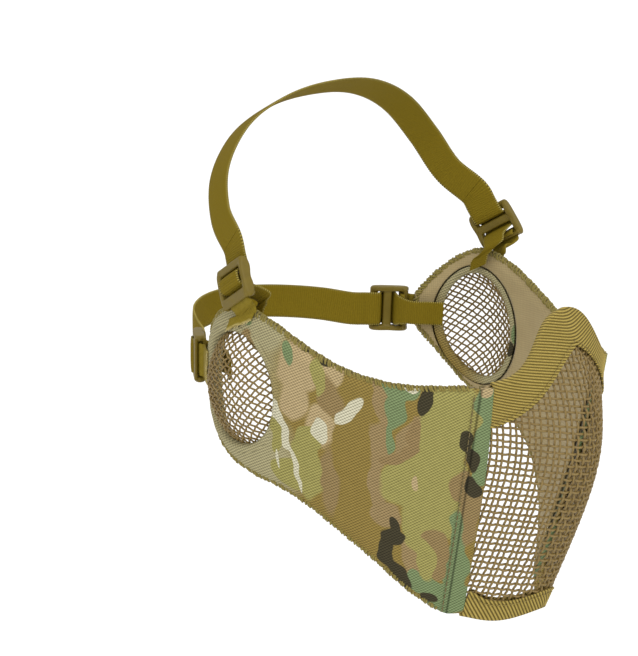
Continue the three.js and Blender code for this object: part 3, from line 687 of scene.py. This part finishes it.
def painted_wire():
    material, tree = new_material("painted wire", 0.45, specular=0.35)
    place_socket = object_place(tree)
    cloud = noise(tree, place_socket, 0.12, 3)
    chips = noise(tree, place_socket, 1.1, 4)
    colour = mixed(tree, cloud, srgb(116, 94, 48), srgb(142, 120, 70))
    worn = add(tree, "MapRange", chips, 0.63, 0.72, 0.0, 1.0)
    colour = mixed(tree, worn, colour, srgb(74, 59, 32))
    return coloured(material, colour, roughness=math_node(tree, "MULTIPLY_ADD", chips, 0.3, 0.28))


def lining_cloth():
    material, tree = new_material("lining cloth", 0.85, sheen=0.15, specular=0.2)
    uv, _, _ = flat_place(tree)
    knit = weave(tree, uv, 1.0, 0, 90, 0.5)
    cloud = noise(tree, uv, 0.08, 3)
    colour = mixed(tree, cloud, srgb(158, 140, 98), srgb(176, 158, 116))
    colour = shade(tree, colour, knit, 0.8, 1.05)
    return coloured(material, colour, knit, 0.4, 0.2)


def foam_sheet():
    material, tree = new_material("foam", 0.95, specular=0.15)
    cells = noise(tree, object_place(tree), 2.5, 3)
    return coloured(material, mixed(tree, cells, srgb(82, 76, 62), srgb(112, 104, 84)), cells, 0.5, 0.3)


def sewing_thread(name, dark, light):
    material, tree = new_material(name, 0.75, sheen=0.1, specular=0.3)
    fleck = noise(tree, object_place(tree), 1.4, 3)
    return coloured(material, mixed(tree, fleck, dark, light))


# ---------------------------------------------------------------- front of the mask
def clipped(path, normal, keep, radius, shortest=4):
    """The stretches of a path where keep is true, as wires."""
    ends = np.flatnonzero(np.diff(np.concatenate([[0], keep.astype(int), [0]])))
    return [wire(path[a:b], normal[a:b], radius)
            for a, b in zip(ends[::2], ends[1::2]) if b - a >= shortest]


def inside_front(x, z):
    return (np.abs(x) < seam(z)[0] - HEM_TURN) & (z > mesh_bottom(x) + 1) & (z < mesh_top(x) - 1)


def front_normal(x, z):
    return lift(front, x, z, np.ones_like(x)) - front(x, z)


def front_rows():
    """Cross wires of the plain weave, which rise away from the ridge."""
    table = np.linspace(0, 48, 97)
    parts = []
    for k in range(-38, 13):
        z = k * ROW_PITCH
        run = lengths(front(table, np.full_like(table, z)))
        s = np.arange(-run[-1], run[-1], COLUMN_PITCH / 3)
        x = np.sign(s) * np.interp(np.abs(s), run, table)
        level = z + ROW_RISE * np.abs(s) + 0.22 * np.sin(s * 0.09 + k * 1.7)
        weave_lift = WEAVE_HEIGHT * np.cos(np.pi * s / COLUMN_PITCH + np.pi * k)
        parts += clipped(lift(front, x, level, weave_lift), front_normal(x, level), inside_front(x, level),
                         WIRE_RADIUS)
    return parts


def front_columns():
    """Upright wires of the plain weave, each at its own distance from the ridge."""
    table = np.linspace(0, 48, 97)
    z = np.arange(-98, 36, ROW_PITCH / 3)
    runs = np.array([lengths(front(table, np.full_like(table, level))) for level in z])
    parts = []
    for j in range(-20, 21):
        s = j * COLUMN_PITCH + 0.25 * np.sin(z * 0.08 + j * 2.1)
        x = np.sign(s) * np.array([np.interp(abs(a), run, table) for a, run in zip(s, runs)])
        weave_lift = -WEAVE_HEIGHT * np.cos(np.pi * (z - ROW_RISE * np.abs(s)) / ROW_PITCH + np.pi * j)
        parts += clipped(lift(front, x, z, weave_lift), front_normal(x, z), inside_front(x, z), WIRE_RADIUS)
    return parts


def make_front_wires(material):
    obj = add_mesh("front_wire_mesh", *joined(front_rows() + front_columns()), material)
    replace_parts(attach(obj, "mask_front"), "front_mesh")


def folded_tape(edge, foot, reach, side, rib_phase):
    """Ribbed tape folded over an edge of the mesh; gives its points, faces and flat place."""
    x = np.arange(-reach, reach + 0.01, TAPE_STEP)
    run = lengths(front(x, edge(x)))
    run = run - run[-1] / 2
    depth = np.abs(edge(x) - foot(x))
    near = MESH_THICK / 2 + TAPE_NEAR
    share = np.linspace(0, 1, 46)
    rings, places = [], []

    def row(across, height):
        rings.append(lift(front, x, edge(x) + across * side, height))
        places.append(np.stack([run, rib_phase(x, run, edge(x) + across * side)], -1))

    def leg(sign):
        for t in share if sign > 0 else share[::-1]:
            across = -depth * (1 - t)
            phase = rib_phase(x, run, edge(x) + across * side)
            relief = 0.22 * (np.cos(2 * np.pi * phase / TAPE_RIB) - 1)
            selvedge = 0.3 * np.exp(-((depth * t / 0.7) ** 2))
            pull = -0.25 * np.exp(-(((depth * t - 1.9) / 0.5) ** 2))
            ends = -0.5 * smooth(reach - 2.2, reach, np.abs(x))
            row(across, sign * (near + TAPE_THICK + relief + selvedge + pull + ends))

    leg(1)
    for turn in np.linspace(0.25, 0.75, 6):
        over = np.full_like(x, TAPE_TURN * math.sin(turn * np.pi))
        row(over, (near + TAPE_THICK) * math.cos((turn - 0.25) * 2 * np.pi))
    leg(-1)
    outer = len(rings)
    for t in np.linspace(0, 1, outer // 2):
        row(-depth * (1 - t), np.full_like(x, -near))
    for t in np.linspace(1, 0, outer - outer // 2):
        row(-depth * (1 - t), np.full_like(x, near))
    points, faces = skin(np.stack(rings, 1))
    return points, faces, np.stack(places, 1).reshape(-1, 2)


def make_tapes(material, thread):
    nose_reach = SEAM_TOP[0] - HEM_WIDTH + 0.6
    chin_reach = SEAM_BOTTOM[0] - HEM_WIDTH + 0.6
    corner = lambda x: 2.4 * smooth(chin_reach - 7, chin_reach + 1, np.abs(x))
    chin_foot = lambda x: mesh_bottom(x) + CHIN_TAPE - 1.2 + corner(x)
    nose_ribs = lambda x, run, z: z - 0.3 * mesh_top(x) - 0.35 * np.hypot(run, 4)
    chin_ribs = lambda x, run, z: (z + 1.2 * run) / 1.56
    for name, node, edge, foot, reach, side, ribs in (
            ("nose_tape", "nose_binding", mesh_top, tape_foot, nose_reach, 1, nose_ribs),
            ("chin_tape", "chin_binding", mesh_bottom, chin_foot, chin_reach, -1, chin_ribs)):
        points, faces, uv = folded_tape(edge, foot, reach, side, ribs)
        tape = add_mesh(name, points, faces, material, uv)
        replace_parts(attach(tape, "mask_front"), node)
        x = np.linspace(-reach + 1, reach - 1, 240)
        z = foot(x) + side * 1.9
        line = lift(front, x, z, np.full_like(x, MESH_THICK / 2 + TAPE_NEAR + TAPE_THICK - 0.1))
        sewn = add_mesh(name + "_stitches", *stitches(line, front_normal(x, z), 2.0, 0.9, 0.17), thread)
        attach(sewn, "mask_front")


# ---------------------------------------------------------------- layered cloth of the side panels
def panel_outline(count):
    """Rim of the panel from the split over the top, down the rear and back below, as y and z."""
    ease = lerp(EAR_SPLIT, 1, np.sin(np.linspace(0, np.pi / 2, count)) * 0.6 + np.linspace(0, 1, count) * 0.4)
    top = [(u, 1.0) for u in ease]
    rear = [(1.0, v) for v in np.linspace(1, 0, 9)[1:-1]]
    low = [(u, 0.0) for u in ease[::-1]]
    u, v = np.array(top + rear + low).T
    return u, v


def panel_yz(u, v):
    z = panel_z(u, v)
    return lerp(seam(z)[1], REAR_Y, panel_s(u, z)), z


def panel_cloth(hem, columns=64, rows=56, rounds=22, hole=0.6):
    """Points (kind, a, z) and faces of one cloth over the side: kind 0 lies on the front, 1 on the cheek."""
    points, faces = [], []
    v = np.linspace(0, 1, rows)
    if hem:
        z = lerp(SEAM_BOTTOM[2], SEAM_TOP[2] - 1, v)
        flat = [np.stack([0 * z, seam(z)[0] + d, z], -1) for d in HEM_STEPS]
    else:
        flat = []
    sheet = []
    for u in np.linspace(0, EAR_SPLIT, columns):
        z = panel_z(np.full_like(v, u), v)
        sheet.append(np.stack([1 + 0 * z, panel_s(u, z), z], -1))
    block = np.array(flat + sheet)
    points.append(block.reshape(-1, 3))
    faces.append(grid(*block.shape[:2]))
    u, w = panel_outline(34)
    y, z = panel_yz(np.concatenate([np.full(rows, EAR_SPLIT), u[1:-1]]), np.concatenate([v, w[1:-1]]))
    ahead, above = y - EAR_Y, z - EAR_Z
    a = ahead * math.cos(EAR_TILT) - above * math.sin(EAR_TILT)
    b = ahead * math.sin(EAR_TILT) + above * math.cos(EAR_TILT)
    ear_y, ear_z = ear_rim(np.arctan2(b / EAR_RZ, a / EAR_RY), hole)
    rings = []
    for t in np.linspace(0, 1, rounds):
        ring_y, ring_z = lerp(ear_y, y, t), lerp(ear_z, z, t)
        sy = seam(ring_z)[1]
        rings.append(np.stack([1 + 0 * ring_y, (ring_y - sy) / (REAR_Y - sy), ring_z], -1))
    rings = np.array(rings)
    faces.append(grid(rounds, len(y), close_v=True)[:, ::-1] + len(points[0]))
    points.append(rings.reshape(-1, 3))
    return weld(np.vstack(points), np.vstack(faces))


def weld(points, faces):
    _, first, back = np.unique(np.round(points, 5), axis=0, return_index=True, return_inverse=True)
    return points[first], back.reshape(-1)[faces]


def at_height(points, height):
    """Where the points of a cloth lie in space, each at its height over the middle surface."""
    kind, a, z = points.T
    return np.where(kind[:, None] == 0, lift(front, a, z, height), lift(cheek, a, z, height))


def rim_distance(points):
    """How far each point of the cheek lies from the panel's free edge."""
    u = np.concatenate([np.linspace(0, 1, 160), np.ones(30), np.linspace(1, 0, 160)])
    v = np.concatenate([np.ones(160), np.linspace(1, 0, 30), np.zeros(160)])
    edge = np.stack(panel_yz(u, v), -1)
    kind, a, z = points.T
    y = lerp(seam(z)[1], REAR_Y, a)
    away = np.sqrt(((np.stack([y, z], -1)[:, None] - edge[None]) ** 2).sum(-1)).min(1)
    hem_away = np.minimum(np.abs(z - SEAM_BOTTOM[2]), np.abs(SEAM_TOP[2] - 1 - z))
    return np.where(kind == 0, hem_away, away)


def thickened(points, faces, low, high):
    """A closed cloth between two heights."""
    count = len(points)
    edges = np.concatenate([faces[:, [k, (k + 1) % 4]] for k in range(4)])
    code = edges[:, 0] * count + edges[:, 1]
    rim = edges[~np.isin(code, edges[:, 1] * count + edges[:, 0])]
    rims = np.stack([rim[:, 1], rim[:, 0], rim[:, 0] + count, rim[:, 1] + count], -1)
    solid = np.vstack([at_height(points, high), at_height(points, low)])
    return solid, np.vstack([faces, faces[:, ::-1] + count, rims])


def facing_out(points, faces):
    """Turns all faces over if the closed shape is inside out."""
    a, b, c, d = (points[faces[:, k]] for k in range(4))
    volume = (np.cross(a, b) * c).sum() + (np.cross(a, c) * d).sum()
    return points, faces if volume > 0 else faces[:, ::-1]


def ripple(points, size):
    """Low, slow waves of cloth that isn't quite flat."""
    _, a, z = points.T
    waves = np.sin(a * 14 + z * 0.07) + np.sin(a * 9 - z * 0.11 + 2) + 0.5 * np.sin(z * 0.23 + a * 5)
    return size * waves / 2.5


def shell_heights(points):
    """Outer height of the printed cloth: flat on the hem, pinched along the stitching and at the edges."""
    kind, a, z = points.T
    away = rim_distance(points)
    behind = np.where(kind == 0, a - seam(z)[0], a * (REAR_Y - seam(z)[1]))
    hem_top = MESH_THICK / 2 + 0.3 + 1.1
    roll = 0.75 * (1 - smooth(-HEM_WIDTH, -HEM_WIDTH + 0.7, behind))
    pinch = 0.55 * np.exp(-(((behind - 1.0) / 0.8) ** 2)) + 0.25 * np.exp(-(((behind + 3.6) / 0.5) ** 2))
    pucker = 0.22 * np.sin(z * 2 * np.pi / 3.3) * np.exp(-(((behind - 2.6) / 1.6) ** 2))
    body = lerp(hem_top, SHELL_OUT, smooth(-0.5, 4, behind)) - roll - pinch + pucker
    body = body + ripple(points, 0.35) * smooth(3, 15, behind) * smooth(1, 10, away)
    return np.where(kind == 0, body, lerp(1.15, body, smooth(0.0, 4.5, away)))


def make_shell(materials):
    points, faces = panel_cloth(hem=True)
    high = shell_heights(points)
    solid, quads = facing_out(*thickened(points, faces, high - SHELL_THICK, high))
    flat = at_height(points, np.zeros(len(points)))
    uv = np.vstack([cloth_uv(flat)] * 2)
    for side, shell in both_sides("printed_shell", (solid, quads), materials, uv).items():
        across_fold(shell, side)
        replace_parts(shell, f"{side}_shell", f"{side}_hem")


def across_fold(obj, side):
    """Bakes the cloth's placement into its points; the ends of the fold beside the seam are worked out, but
    nothing bends the cloth.
    """
    sign = 1 if side == "left" else -1
    start, end = (tuple((FOLD_AT + FOLD_OVER * far) * MM * [sign, 1, 1]) for far in (FOLD_START, FOLD_END))
    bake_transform(obj)
    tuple(start)
    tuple(end)


def make_padding(foam_material, lining_material):
    points, faces = panel_cloth(hem=False, columns=34, rows=30, rounds=12, hole=2.2)
    away = rim_distance(points)
    plump = smooth(0.2, 4.5, away)
    foam = facing_out(*thickened(points, faces, lerp(-0.5, -FOAM_HALF, plump), lerp(0.4, FOAM_HALF, plump)))
    lining_high = lerp(-0.55, LINING_OUT, plump) + ripple(points, 0.12)
    lining = facing_out(*thickened(points, faces, lining_high - LINING_THICK, lining_high))
    flat = at_height(points, np.zeros(len(points)))
    uv = np.vstack([cloth_uv(flat)] * 2)
    for side, sign in (("left", 1), ("right", -1)):
        shapes = [part if sign > 0 else mirror(*part) for part in (foam, lining)]
        core = add_mesh(f"{side}_foam_core", *shapes[0], foam_material, uv)
        back = add_mesh(f"{side}_lining_cloth", *shapes[1], lining_material, uv)
        for obj, node, slot in ((core, "foam", "foam"), (back, "lining", "lining")):
            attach(obj, f"{side}_panel")
            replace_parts(obj, f"{side}_{node}")


def hem_facing():
    """Binding inside the hem, round the side edge of the mesh."""
    z = np.linspace(SEAM_BOTTOM[2], SEAM_TOP[2] - 1, 60)
    at = lambda d, height: lift(front, seam(z)[0] + d, z, np.full_like(z, height))
    rings = [at(behind, height) for behind, height in HEM_OUTSIDE + HEM_INSIDE[::-1]]
    return facing_out(*skin(np.stack(rings, 1)))


def make_hem_facing(material):
    facing = hem_facing()
    for obj in both_sides("hem_facing", facing, material, cloth_uv(facing[0])).values():
        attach(obj, "mask_front")


def seam_stitches():
    """The line of stitches on the panel, just behind the seam."""
    z = np.linspace(SEAM_BOTTOM[2] + 1, SEAM_TOP[2] - 2, 200)
    s = 1.5 / (REAR_Y - seam(z)[1])
    rear = lift(cheek, s, z, np.full_like(z, SHELL_OUT + 0.05))
    normal = lift(cheek, s, z, np.ones_like(z)) - cheek(s, z)
    return stitches(rear, normal, 2.3, 0.9, 0.24)


def make_seam_stitches(thread):
    for side, obj in both_sides("seam_stitches", seam_stitches(), thread).items():
        across_fold(obj, side)


# ---------------------------------------------------------------- overlocked edge
def rim_stations(count):
    """Points along the panel's free edge with the directions out of the edge and out of the cloth."""
    n = count // 2
    u = np.concatenate([np.linspace(0.004, 1, n), np.ones(24), np.linspace(1, 0.004, n)])
    v = np.concatenate([np.ones(n), np.linspace(1, 0, 26)[1:-1], np.zeros(n)])
    y, z = panel_yz(u, v)
    p = on_panel(y, z, np.zeros_like(y))
    run = lengths(p)
    at = np.linspace(0, run[-1], count)
    y, z = (np.interp(at, run, c) for c in (y, z))
    kernel = np.ones(9) / 9
    for _ in range(2):
        y, z = (np.convolve(np.pad(c, 4, mode="edge"), kernel, "valid") for c in (y, z))
    p = on_panel(y, z, np.zeros_like(y))
    normal = unit(on_panel(y, z, np.ones_like(y)) - p)
    out = unit(np.cross(unit(np.gradient(p, axis=0)), normal)) * -1
    middle = on_panel(np.array([EAR_Y - 40]), np.array([-20.0]), np.array([0.0]))
    if ((p - middle) * out).sum() < 0:
        out = -out
    return p, out, normal


def edge_core():
    p, out, normal = rim_stations(420)
    a = np.arange(12) / 12 * 2 * np.pi
    centre = p - out * EDGE_INSET
    ahead = np.cos(a)[None, :, None] * out[:, None]
    above = 1.2 * np.sin(a)[None, :, None] * normal[:, None]
    return facing_out(*skin(centre[:, None] + ahead + above))


def overlock():
    """Thread wound round the edge, loop after loop, each a little different."""
    p, out, normal = rim_stations(420)
    run = lengths(p)
    loops = int(run[-1] / OVERLOCK_PITCH)
    turns = np.linspace(0, loops, loops * 10)
    at = run[-1] * turns / loops + 0.9 * np.cos(turns * 2 * np.pi) + 0.35 * np.sin(turns * 1.9)
    pick = lambda rows: np.stack([np.interp(at, run, rows[:, k]) for k in range(3)], -1)
    size = 1 + 0.1 * np.sin(turns * 2.399) + 0.1 * np.sin(turns * 0.7)
    a = turns * 2 * np.pi
    ahead = (OVERLOCK_OUT * size * np.cos(a))[:, None] * pick(out)
    radial = ahead + (OVERLOCK_UP * size * np.sin(a))[:, None] * pick(normal)
    path = pick(p) - pick(out) * EDGE_INSET + radial
    return wire(path, unit(radial), OVERLOCK_THREAD)


def make_overlock(material, core_material):
    for side, obj in both_sides("edge_core", edge_core(), core_material).items():
        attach(obj, f"{side}_panel")
    for side, obj in both_sides("overlock_thread", overlock(), material).items():
        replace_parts(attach(obj, f"{side}_panel"), f"{side}_edge_trim")


# ---------------------------------------------------------------- ear covers
def ear_lift(a, b, extra):
    """Space point of the domed ear mesh at a and b mm from the middle of the opening."""
    r = np.hypot(a / (EAR_RY - 1.4), b / (EAR_RZ - 1.4))
    height = EAR_SEAT + (EAR_DOME - EAR_SEAT) * (1 - np.minimum(r, 1) ** 2.6) + extra
    return on_panel(*ear_turn(a, b), height), r


def ear_wires():
    """Plain weave laid on the slant."""
    parts = []
    along = np.arange(-30, 30, EAR_PITCH / 3)
    for way in (0, 1):
        for k in range(-13, 14):
            fixed = k * EAR_PITCH + 0.2 * np.sin(along * 0.15 + k * 2.3)
            p, q = (along, fixed) if way == 0 else (fixed, along)
            a = -p * math.cos(EAR_BIAS) + q * math.sin(EAR_BIAS)
            b = p * math.sin(EAR_BIAS) + q * math.cos(EAR_BIAS)
            sign = 1 if way == 0 else -1
            woven = sign * EAR_WIRE * np.cos(np.pi * along / EAR_PITCH + np.pi * k)
            path, r = ear_lift(a, b, woven)
            normal = ear_lift(a, b, 1.0 + 0 * a)[0] - ear_lift(a, b, 0 * a)[0]
            parts += clipped(path, normal, r < 1, EAR_WIRE, 3)
    return joined(parts)


def ear_lip():
    """Printed cloth turned in round the ear opening."""
    angle = np.linspace(0, 2 * np.pi, 128, endpoint=False)
    rings = []
    for k, a in enumerate(angle):
        grow, height = np.array(EAR_LIP).T
        height = height + 0.06 * math.sin(k * 0.9)
        y, z = ear_rim(np.full_like(grow, a), grow)
        rings.append(on_panel(y, z, height))
    rings = np.array(rings)
    return facing_out(rings.reshape(-1, 3), grid(*rings.shape[:2], close_u=True, close_v=True))


def make_ear_covers(wire_material, cloth_materials):
    for side, obj in both_sides("ear_wire_mesh", ear_wires(), wire_material).items():
        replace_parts(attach(obj, f"{side}_panel"), f"{side}_ear_mesh")
    lip = ear_lip()
    for side, obj in both_sides("ear_lip", lip, cloth_materials, cloth_uv(lip[0])).items():
        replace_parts(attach(obj, f"{side}_panel"), f"{side}_ear_ring")


# ---------------------------------------------------------------- buckles, tabs and straps
def frame_at(origin, along, out):
    """A buckle's own frame: x across, y along the strap, z out from the head."""
    y = unit(np.array(along, float))
    x = unit(np.cross(y, out))
    return np.array(origin, float), np.stack([x, y, np.cross(x, y)])


TOP, REAR = frame_at(*TOP_PLACE), frame_at(*REAR_PLACE)


def to_space(frame_of, local):
    origin, axes = frame_of
    return origin + np.asarray(local, float) @ axes


def to_local(frame_of, point):
    origin, axes = frame_of
    return (np.asarray(point, float) - origin) @ axes.T


def threaded(frame_of, rows, height, profile, step, settle):
    """Webbing that starts against the panel and follows a profile in a buckle: path, across and out."""
    start = [to_local(frame_of, on_panel(np.float64(y), np.float64(z), height)) for y, z in rows]
    flat = spline([*start, *([0, y, z] for y, z in profile)], step)
    tangent = unit(np.gradient(flat, axis=0))
    out = unit(np.stack([0 * tangent[:, 0], -tangent[:, 2], tangent[:, 1]], -1)) @ frame_of[1]
    path = to_space(frame_of, flat)
    along = unit(tangent * [0, 1, 1]) @ frame_of[1]
    free = smooth(settle * 0.6, settle, np.linspace(0, 1, len(path)))[:, None]
    y, z = path[:, 1], path[:, 2]
    normal = unit(on_panel(y, z, 1 + 0 * y) - on_panel(y, z, 0 * y))
    flipped = np.sign((out[:1] * normal[:1]).sum()) or 1.0
    out = unit(lerp(normal * flipped, out, free))
    across = unit(np.cross(along, out))
    return path, across, np.cross(across, along)


def strap_line(frame_of, tail, exit_profile, route, centre):
    """The whole half of a strap, from its tail inside the panel to the middle of the head."""
    path, across, out = threaded(frame_of, tail, TAIL_HEIGHT, [*exit_profile, *THREAD], STRAP_STEP, 0.2)
    leave = path[-1]
    along = frame_of[1][1]
    points = [leave, leave + along * 6, *map(np.array, route), np.array(route[-2]) * [-1, 1, 1]]
    over = spline(points, STRAP_STEP)
    over = over[:np.argmax(over[:, 0] <= 0)]
    over[-1, 0] = 0
    tangent = unit(np.gradient(over, axis=0))
    tangent[-1] = [-1, 0, 0]
    head = unit(over - centre)
    share = smooth(0, 0.6, np.linspace(0, 1, len(over)))[:, None]
    facing = unit(lerp(frame_of[1][2], head, share))
    side = unit(np.cross(tangent, facing))
    normal = np.cross(side, tangent)
    if (across[-1] * side[0]).sum() < 0:
        across, out = -across, out
    return np.vstack([path, over[1:]]), np.vstack([across, side[1:]]), np.vstack([out, normal[1:]])


def band_uv(path, width, points_across, start=0.0):
    w = np.linspace(-1, 1, points_across) * width / 2
    run = lengths(path) + start
    one = np.stack([np.broadcast_to(w, (len(path), points_across)),
                    np.broadcast_to(run[:, None], (len(path), points_across))], -1)
    return np.concatenate([one, one[:, ::-1]], axis=1).reshape(-1, 2)


def make_strap(name, frame_of, tail, exit_profile, route, centre, material):
    """A strap in three lengths on each side, which meet without a step."""
    path, across, out = strap_line(frame_of, tail, exit_profile, route, centre)
    run = lengths(path)
    over_bar = int(np.argmin(np.linalg.norm(path - to_space(frame_of, [0, 7.6, 2.8]), axis=1)))
    local = to_local(frame_of, path)
    clear = over_bar + int(np.argmax(local[over_bar:, 1] > NECK_END[name]))
    parts = {
        "tail": (0, over_bar + 1, [0, -1.5, -8], [0, 3.2, -4.2], "panel", "adjuster"),
        "neck": (over_bar, clear + 1, [0, 12.5, -3], [0, NECK_END[name] - 1, -3], "adjuster", "panel"),
        "half": (clear, len(path), None, None, "panel", "mask_front"),
    }
    for side, sign in (("left", 1), ("right", -1)):
        for part, (a, b, start, end, first, second) in parts.items():
            wide = np.full(b - a, float(STRAP_WIDTH))
            if part == "tail":
                wide *= lerp(TAIL_NARROW, 1, smooth(0.45, 0.85, np.linspace(0, 1, b - a)))
            points, faces = facing_out(*band(path[a:b], across[a:b], out[a:b], wide))
            if sign < 0:
                points, faces = mirror(points, faces)
            uv = band_uv(path[a:b], STRAP_WIDTH, STRAP_POINTS, run[a])
            obj = add_mesh(f"{side}_{name}_strap_{part}", points, faces, material, uv)
            if part == "half":
                far = path[a + int((b - a) * HALF_STILL[name])]
                limits = path[a], far
            else:
                limits = to_space(frame_of, start), to_space(frame_of, end)
            start_at, end_at = (tuple(p * MM * [sign, 1, 1]) for p in limits)
            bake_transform(obj)
            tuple(start_at)
            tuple(end_at)
            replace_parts(obj, f"{name}_strap")


def tab(frame_of, rows, flare):
    path, across, out = threaded(frame_of, rows, TAB_HEIGHT, TAB_LOOP, 0.3, 0.42)
    share = np.linspace(0, 1, len(path))
    wide = TAB_WIDTH / 2 * (1 + flare * (1 - smooth(0, 0.45, share)))
    w = np.linspace(-1, 1, 13)
    cut = 0.9 * (1 - smooth(0, 0.1, share))[:, None] * np.sin(w * 7)[None, :] * 0.35
    along = unit(np.gradient(path, axis=0))
    wavy = 0.25 * np.sin(w * 3 + 1)[None, :] * (1 - smooth(0.1, 0.5, share))[:, None]
    row = lambda sign: (path[:, None] + across[:, None] * (wide[:, None] * w)[..., None]
                        + along[:, None] * cut[..., None]
                        + out[:, None] * (sign * 0.5 + wavy - 0.12 * sign * w[None, :] ** 6)[..., None])
    rings = np.concatenate([row(1), row(-1)[:, ::-1]], axis=1)
    return facing_out(*skin(rings)), band_uv(path, TAB_WIDTH, 13)


def frayed_end(frame_of, rows, flare):
    """Loose yarns at the cut end of a tab."""
    path, across, out = threaded(frame_of, rows, TAB_HEIGHT, TAB_LOOP, 0.3, 0.42)
    down = unit(path[0] - path[3])
    parts = []
    for _ in range(34):
        w = random.uniform(-1, 1) * TAB_WIDTH / 2 * (1 + flare)
        length = random.uniform(0.6, 1.9)
        t = np.linspace(0, 1, 5)[:, None]
        bend = random.uniform(-0.8, 0.8) * across[0] + random.uniform(-0.2, 0.5) * out[0]
        yarn = path[0] + across[0] * w - down * 0.4 + down * t * length + bend * t ** 2
        parts.append(wire(yarn, out[0] + 0 * yarn, random.uniform(0.09, 0.16), 4))
    return joined(parts)


def make_tabs(material, frayed_material):
    for name, frame_of, rows in (("top", TOP, TOP_TAB_ROWS), ("rear", REAR, REAR_TAB_ROWS)):
        flare = TAB_FLARE[name]
        shape, uv = tab(frame_of, rows, flare)
        for side, obj in both_sides(f"{name}_tab_webbing", shape, material, uv).items():
            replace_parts(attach(obj, f"{side}_panel"), f"{side}_{name}_tab")
        yarns = frayed_end(frame_of, rows, flare)
        for side, obj in both_sides(f"{name}_tab_yarns", yarns, frayed_material).items():
            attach(obj, f"{side}_panel")


def rounded_bar(y, z, half_y, half_z, corner, reach):
    """A bar along x with rounded corners."""
    a = np.linspace(0, np.pi, 9)
    flat = half_y - corner
    ring = [(y + (-flat if t < np.pi / 2 else flat) - corner * math.cos(t),
             z + half_z - corner + corner * math.sin(t)) for t in a]
    back = [(py, 2 * z - pz) for py, pz in ring[::-1]]
    section = np.array(ring + back)
    x = np.array([-reach, 0, reach])
    rings = np.stack([np.column_stack([np.full(len(section), k), section]) for k in x])
    return facing_out(*skin(rings))


def buckle_rail(side):
    """Thick cheek with a waved back, higher in the middle than at its ends."""
    y = np.linspace(BUCKLE_FOOT, BUCKLE_HEAD, 30)
    t = (y - BUCKLE_FOOT) / (BUCKLE_HEAD - BUCKLE_FOOT)
    round_off = np.clip(1 - np.abs(2 * t - 1) ** 4, 0, 1) ** 0.5
    front_edge = 2.25 * round_off
    back_edge = (-2.75 + 0.75 * np.exp(-((t - 0.5) / 0.16) ** 2)) * round_off
    ring = np.array([*zip(y, front_edge), *zip(y[::-1], back_edge[::-1])])
    outer, inner = BUCKLE_WIDTH / 2 * side, (BUCKLE_WIDTH / 2 - RAIL_WIDTH) * side
    middle = ring.mean(0)
    rings = []
    for share, scale in ((0, 0.94), (0.25, 1.0), (0.75, 1.0), (1, 0.9)):
        shrunk = middle + (ring - middle) * scale
        rings.append(np.column_stack([np.full(len(ring), lerp(inner, outer, share)), shrunk]))
    return facing_out(*skin(np.stack(rings)))


def buckle_shape():
    """One moulded ladder-lock buckle in its own frame: its parts are fused by a remesh and smoothed."""
    reach = BUCKLE_WIDTH / 2 - 1
    parts = [buckle_rail(1), buckle_rail(-1), *(rounded_bar(*bar, reach) for bar in BUCKLE_BARS)]
    raw = add_mesh("buckle_raw", *joined(parts), None)
    fuse = raw.modifiers.new("fuse", "REMESH")
    fuse.mode = "VOXEL"
    fuse.voxel_size = VOXEL * MM
    ease = raw.modifiers.new("ease", "SMOOTH")
    ease.factor = EASE_FACTOR
    ease.iterations = EASE_ROUNDS
    ready = bpy.data.meshes.new_from_object(raw.evaluated_get(bpy.context.evaluated_depsgraph_get()))
    points = np.zeros(len(ready.vertices) * 3, np.float32)
    ready.vertices.foreach_get("co", points)
    faces = np.array([list(p.vertices) for p in ready.polygons])
    bpy.data.objects.remove(raw)
    return points.reshape(-1, 3) / MM, faces


def make_buckles(material):
    points, faces = buckle_shape()
    for name, frame_of in (("top", TOP), ("rear", REAR)):
        placed = facing_out(to_space(frame_of, points), faces)
        for side, obj in both_sides(f"{name}_ladder_lock", placed, material).items():
            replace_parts(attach(obj, f"{side}_{name}_adjuster"), f"{side}_{name}_buckle")


# ---------------------------------------------------------------- the whole mask
def main():
    make_camera()
    make_stage()
    wires = painted_wire()
    cloths = {"right": camo_cloth("printed cloth right", (0, 0, 0)),
              "left": camo_cloth("printed cloth left", (14, -9, 0))}
    thread = sewing_thread("hem thread", srgb(74, 64, 36), srgb(128, 112, 68))
    edge_thread = sewing_thread("overlock thread", srgb(92, 80, 28), srgb(158, 144, 74))
    core = sewing_thread("edge under the thread", srgb(78, 68, 26), srgb(112, 98, 46))
    make_front_wires(wires)
    make_tapes(ribbed_tape(), sewing_thread("tape thread", srgb(126, 108, 50), srgb(158, 140, 76)))
    make_shell(cloths)
    make_padding(foam_sheet(), lining_cloth())
    make_hem_facing(cloths["right"])
    make_seam_stitches(thread)
    make_overlock(edge_thread, core)
    make_ear_covers(wires, cloths)
    webbing = elastic()
    make_strap("top", TOP, TOP_TAIL_ROWS, TOP_EXIT, TOP_ROUTE, CROWN_CENTRE, webbing)
    make_strap("rear", REAR, REAR_TAIL_ROWS, REAR_EXIT, REAR_ROUTE, NAPE_CENTRE, webbing)
    make_tabs(smooth_webbing(), sewing_thread("cut yarns", srgb(176, 158, 92), srgb(214, 200, 150)))
    make_buckles(moulded_plastic())


main()
visual_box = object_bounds()
{"cad": [list(corner) for corner in cad_box], "visual": [list(corner) for corner in visual_box]}
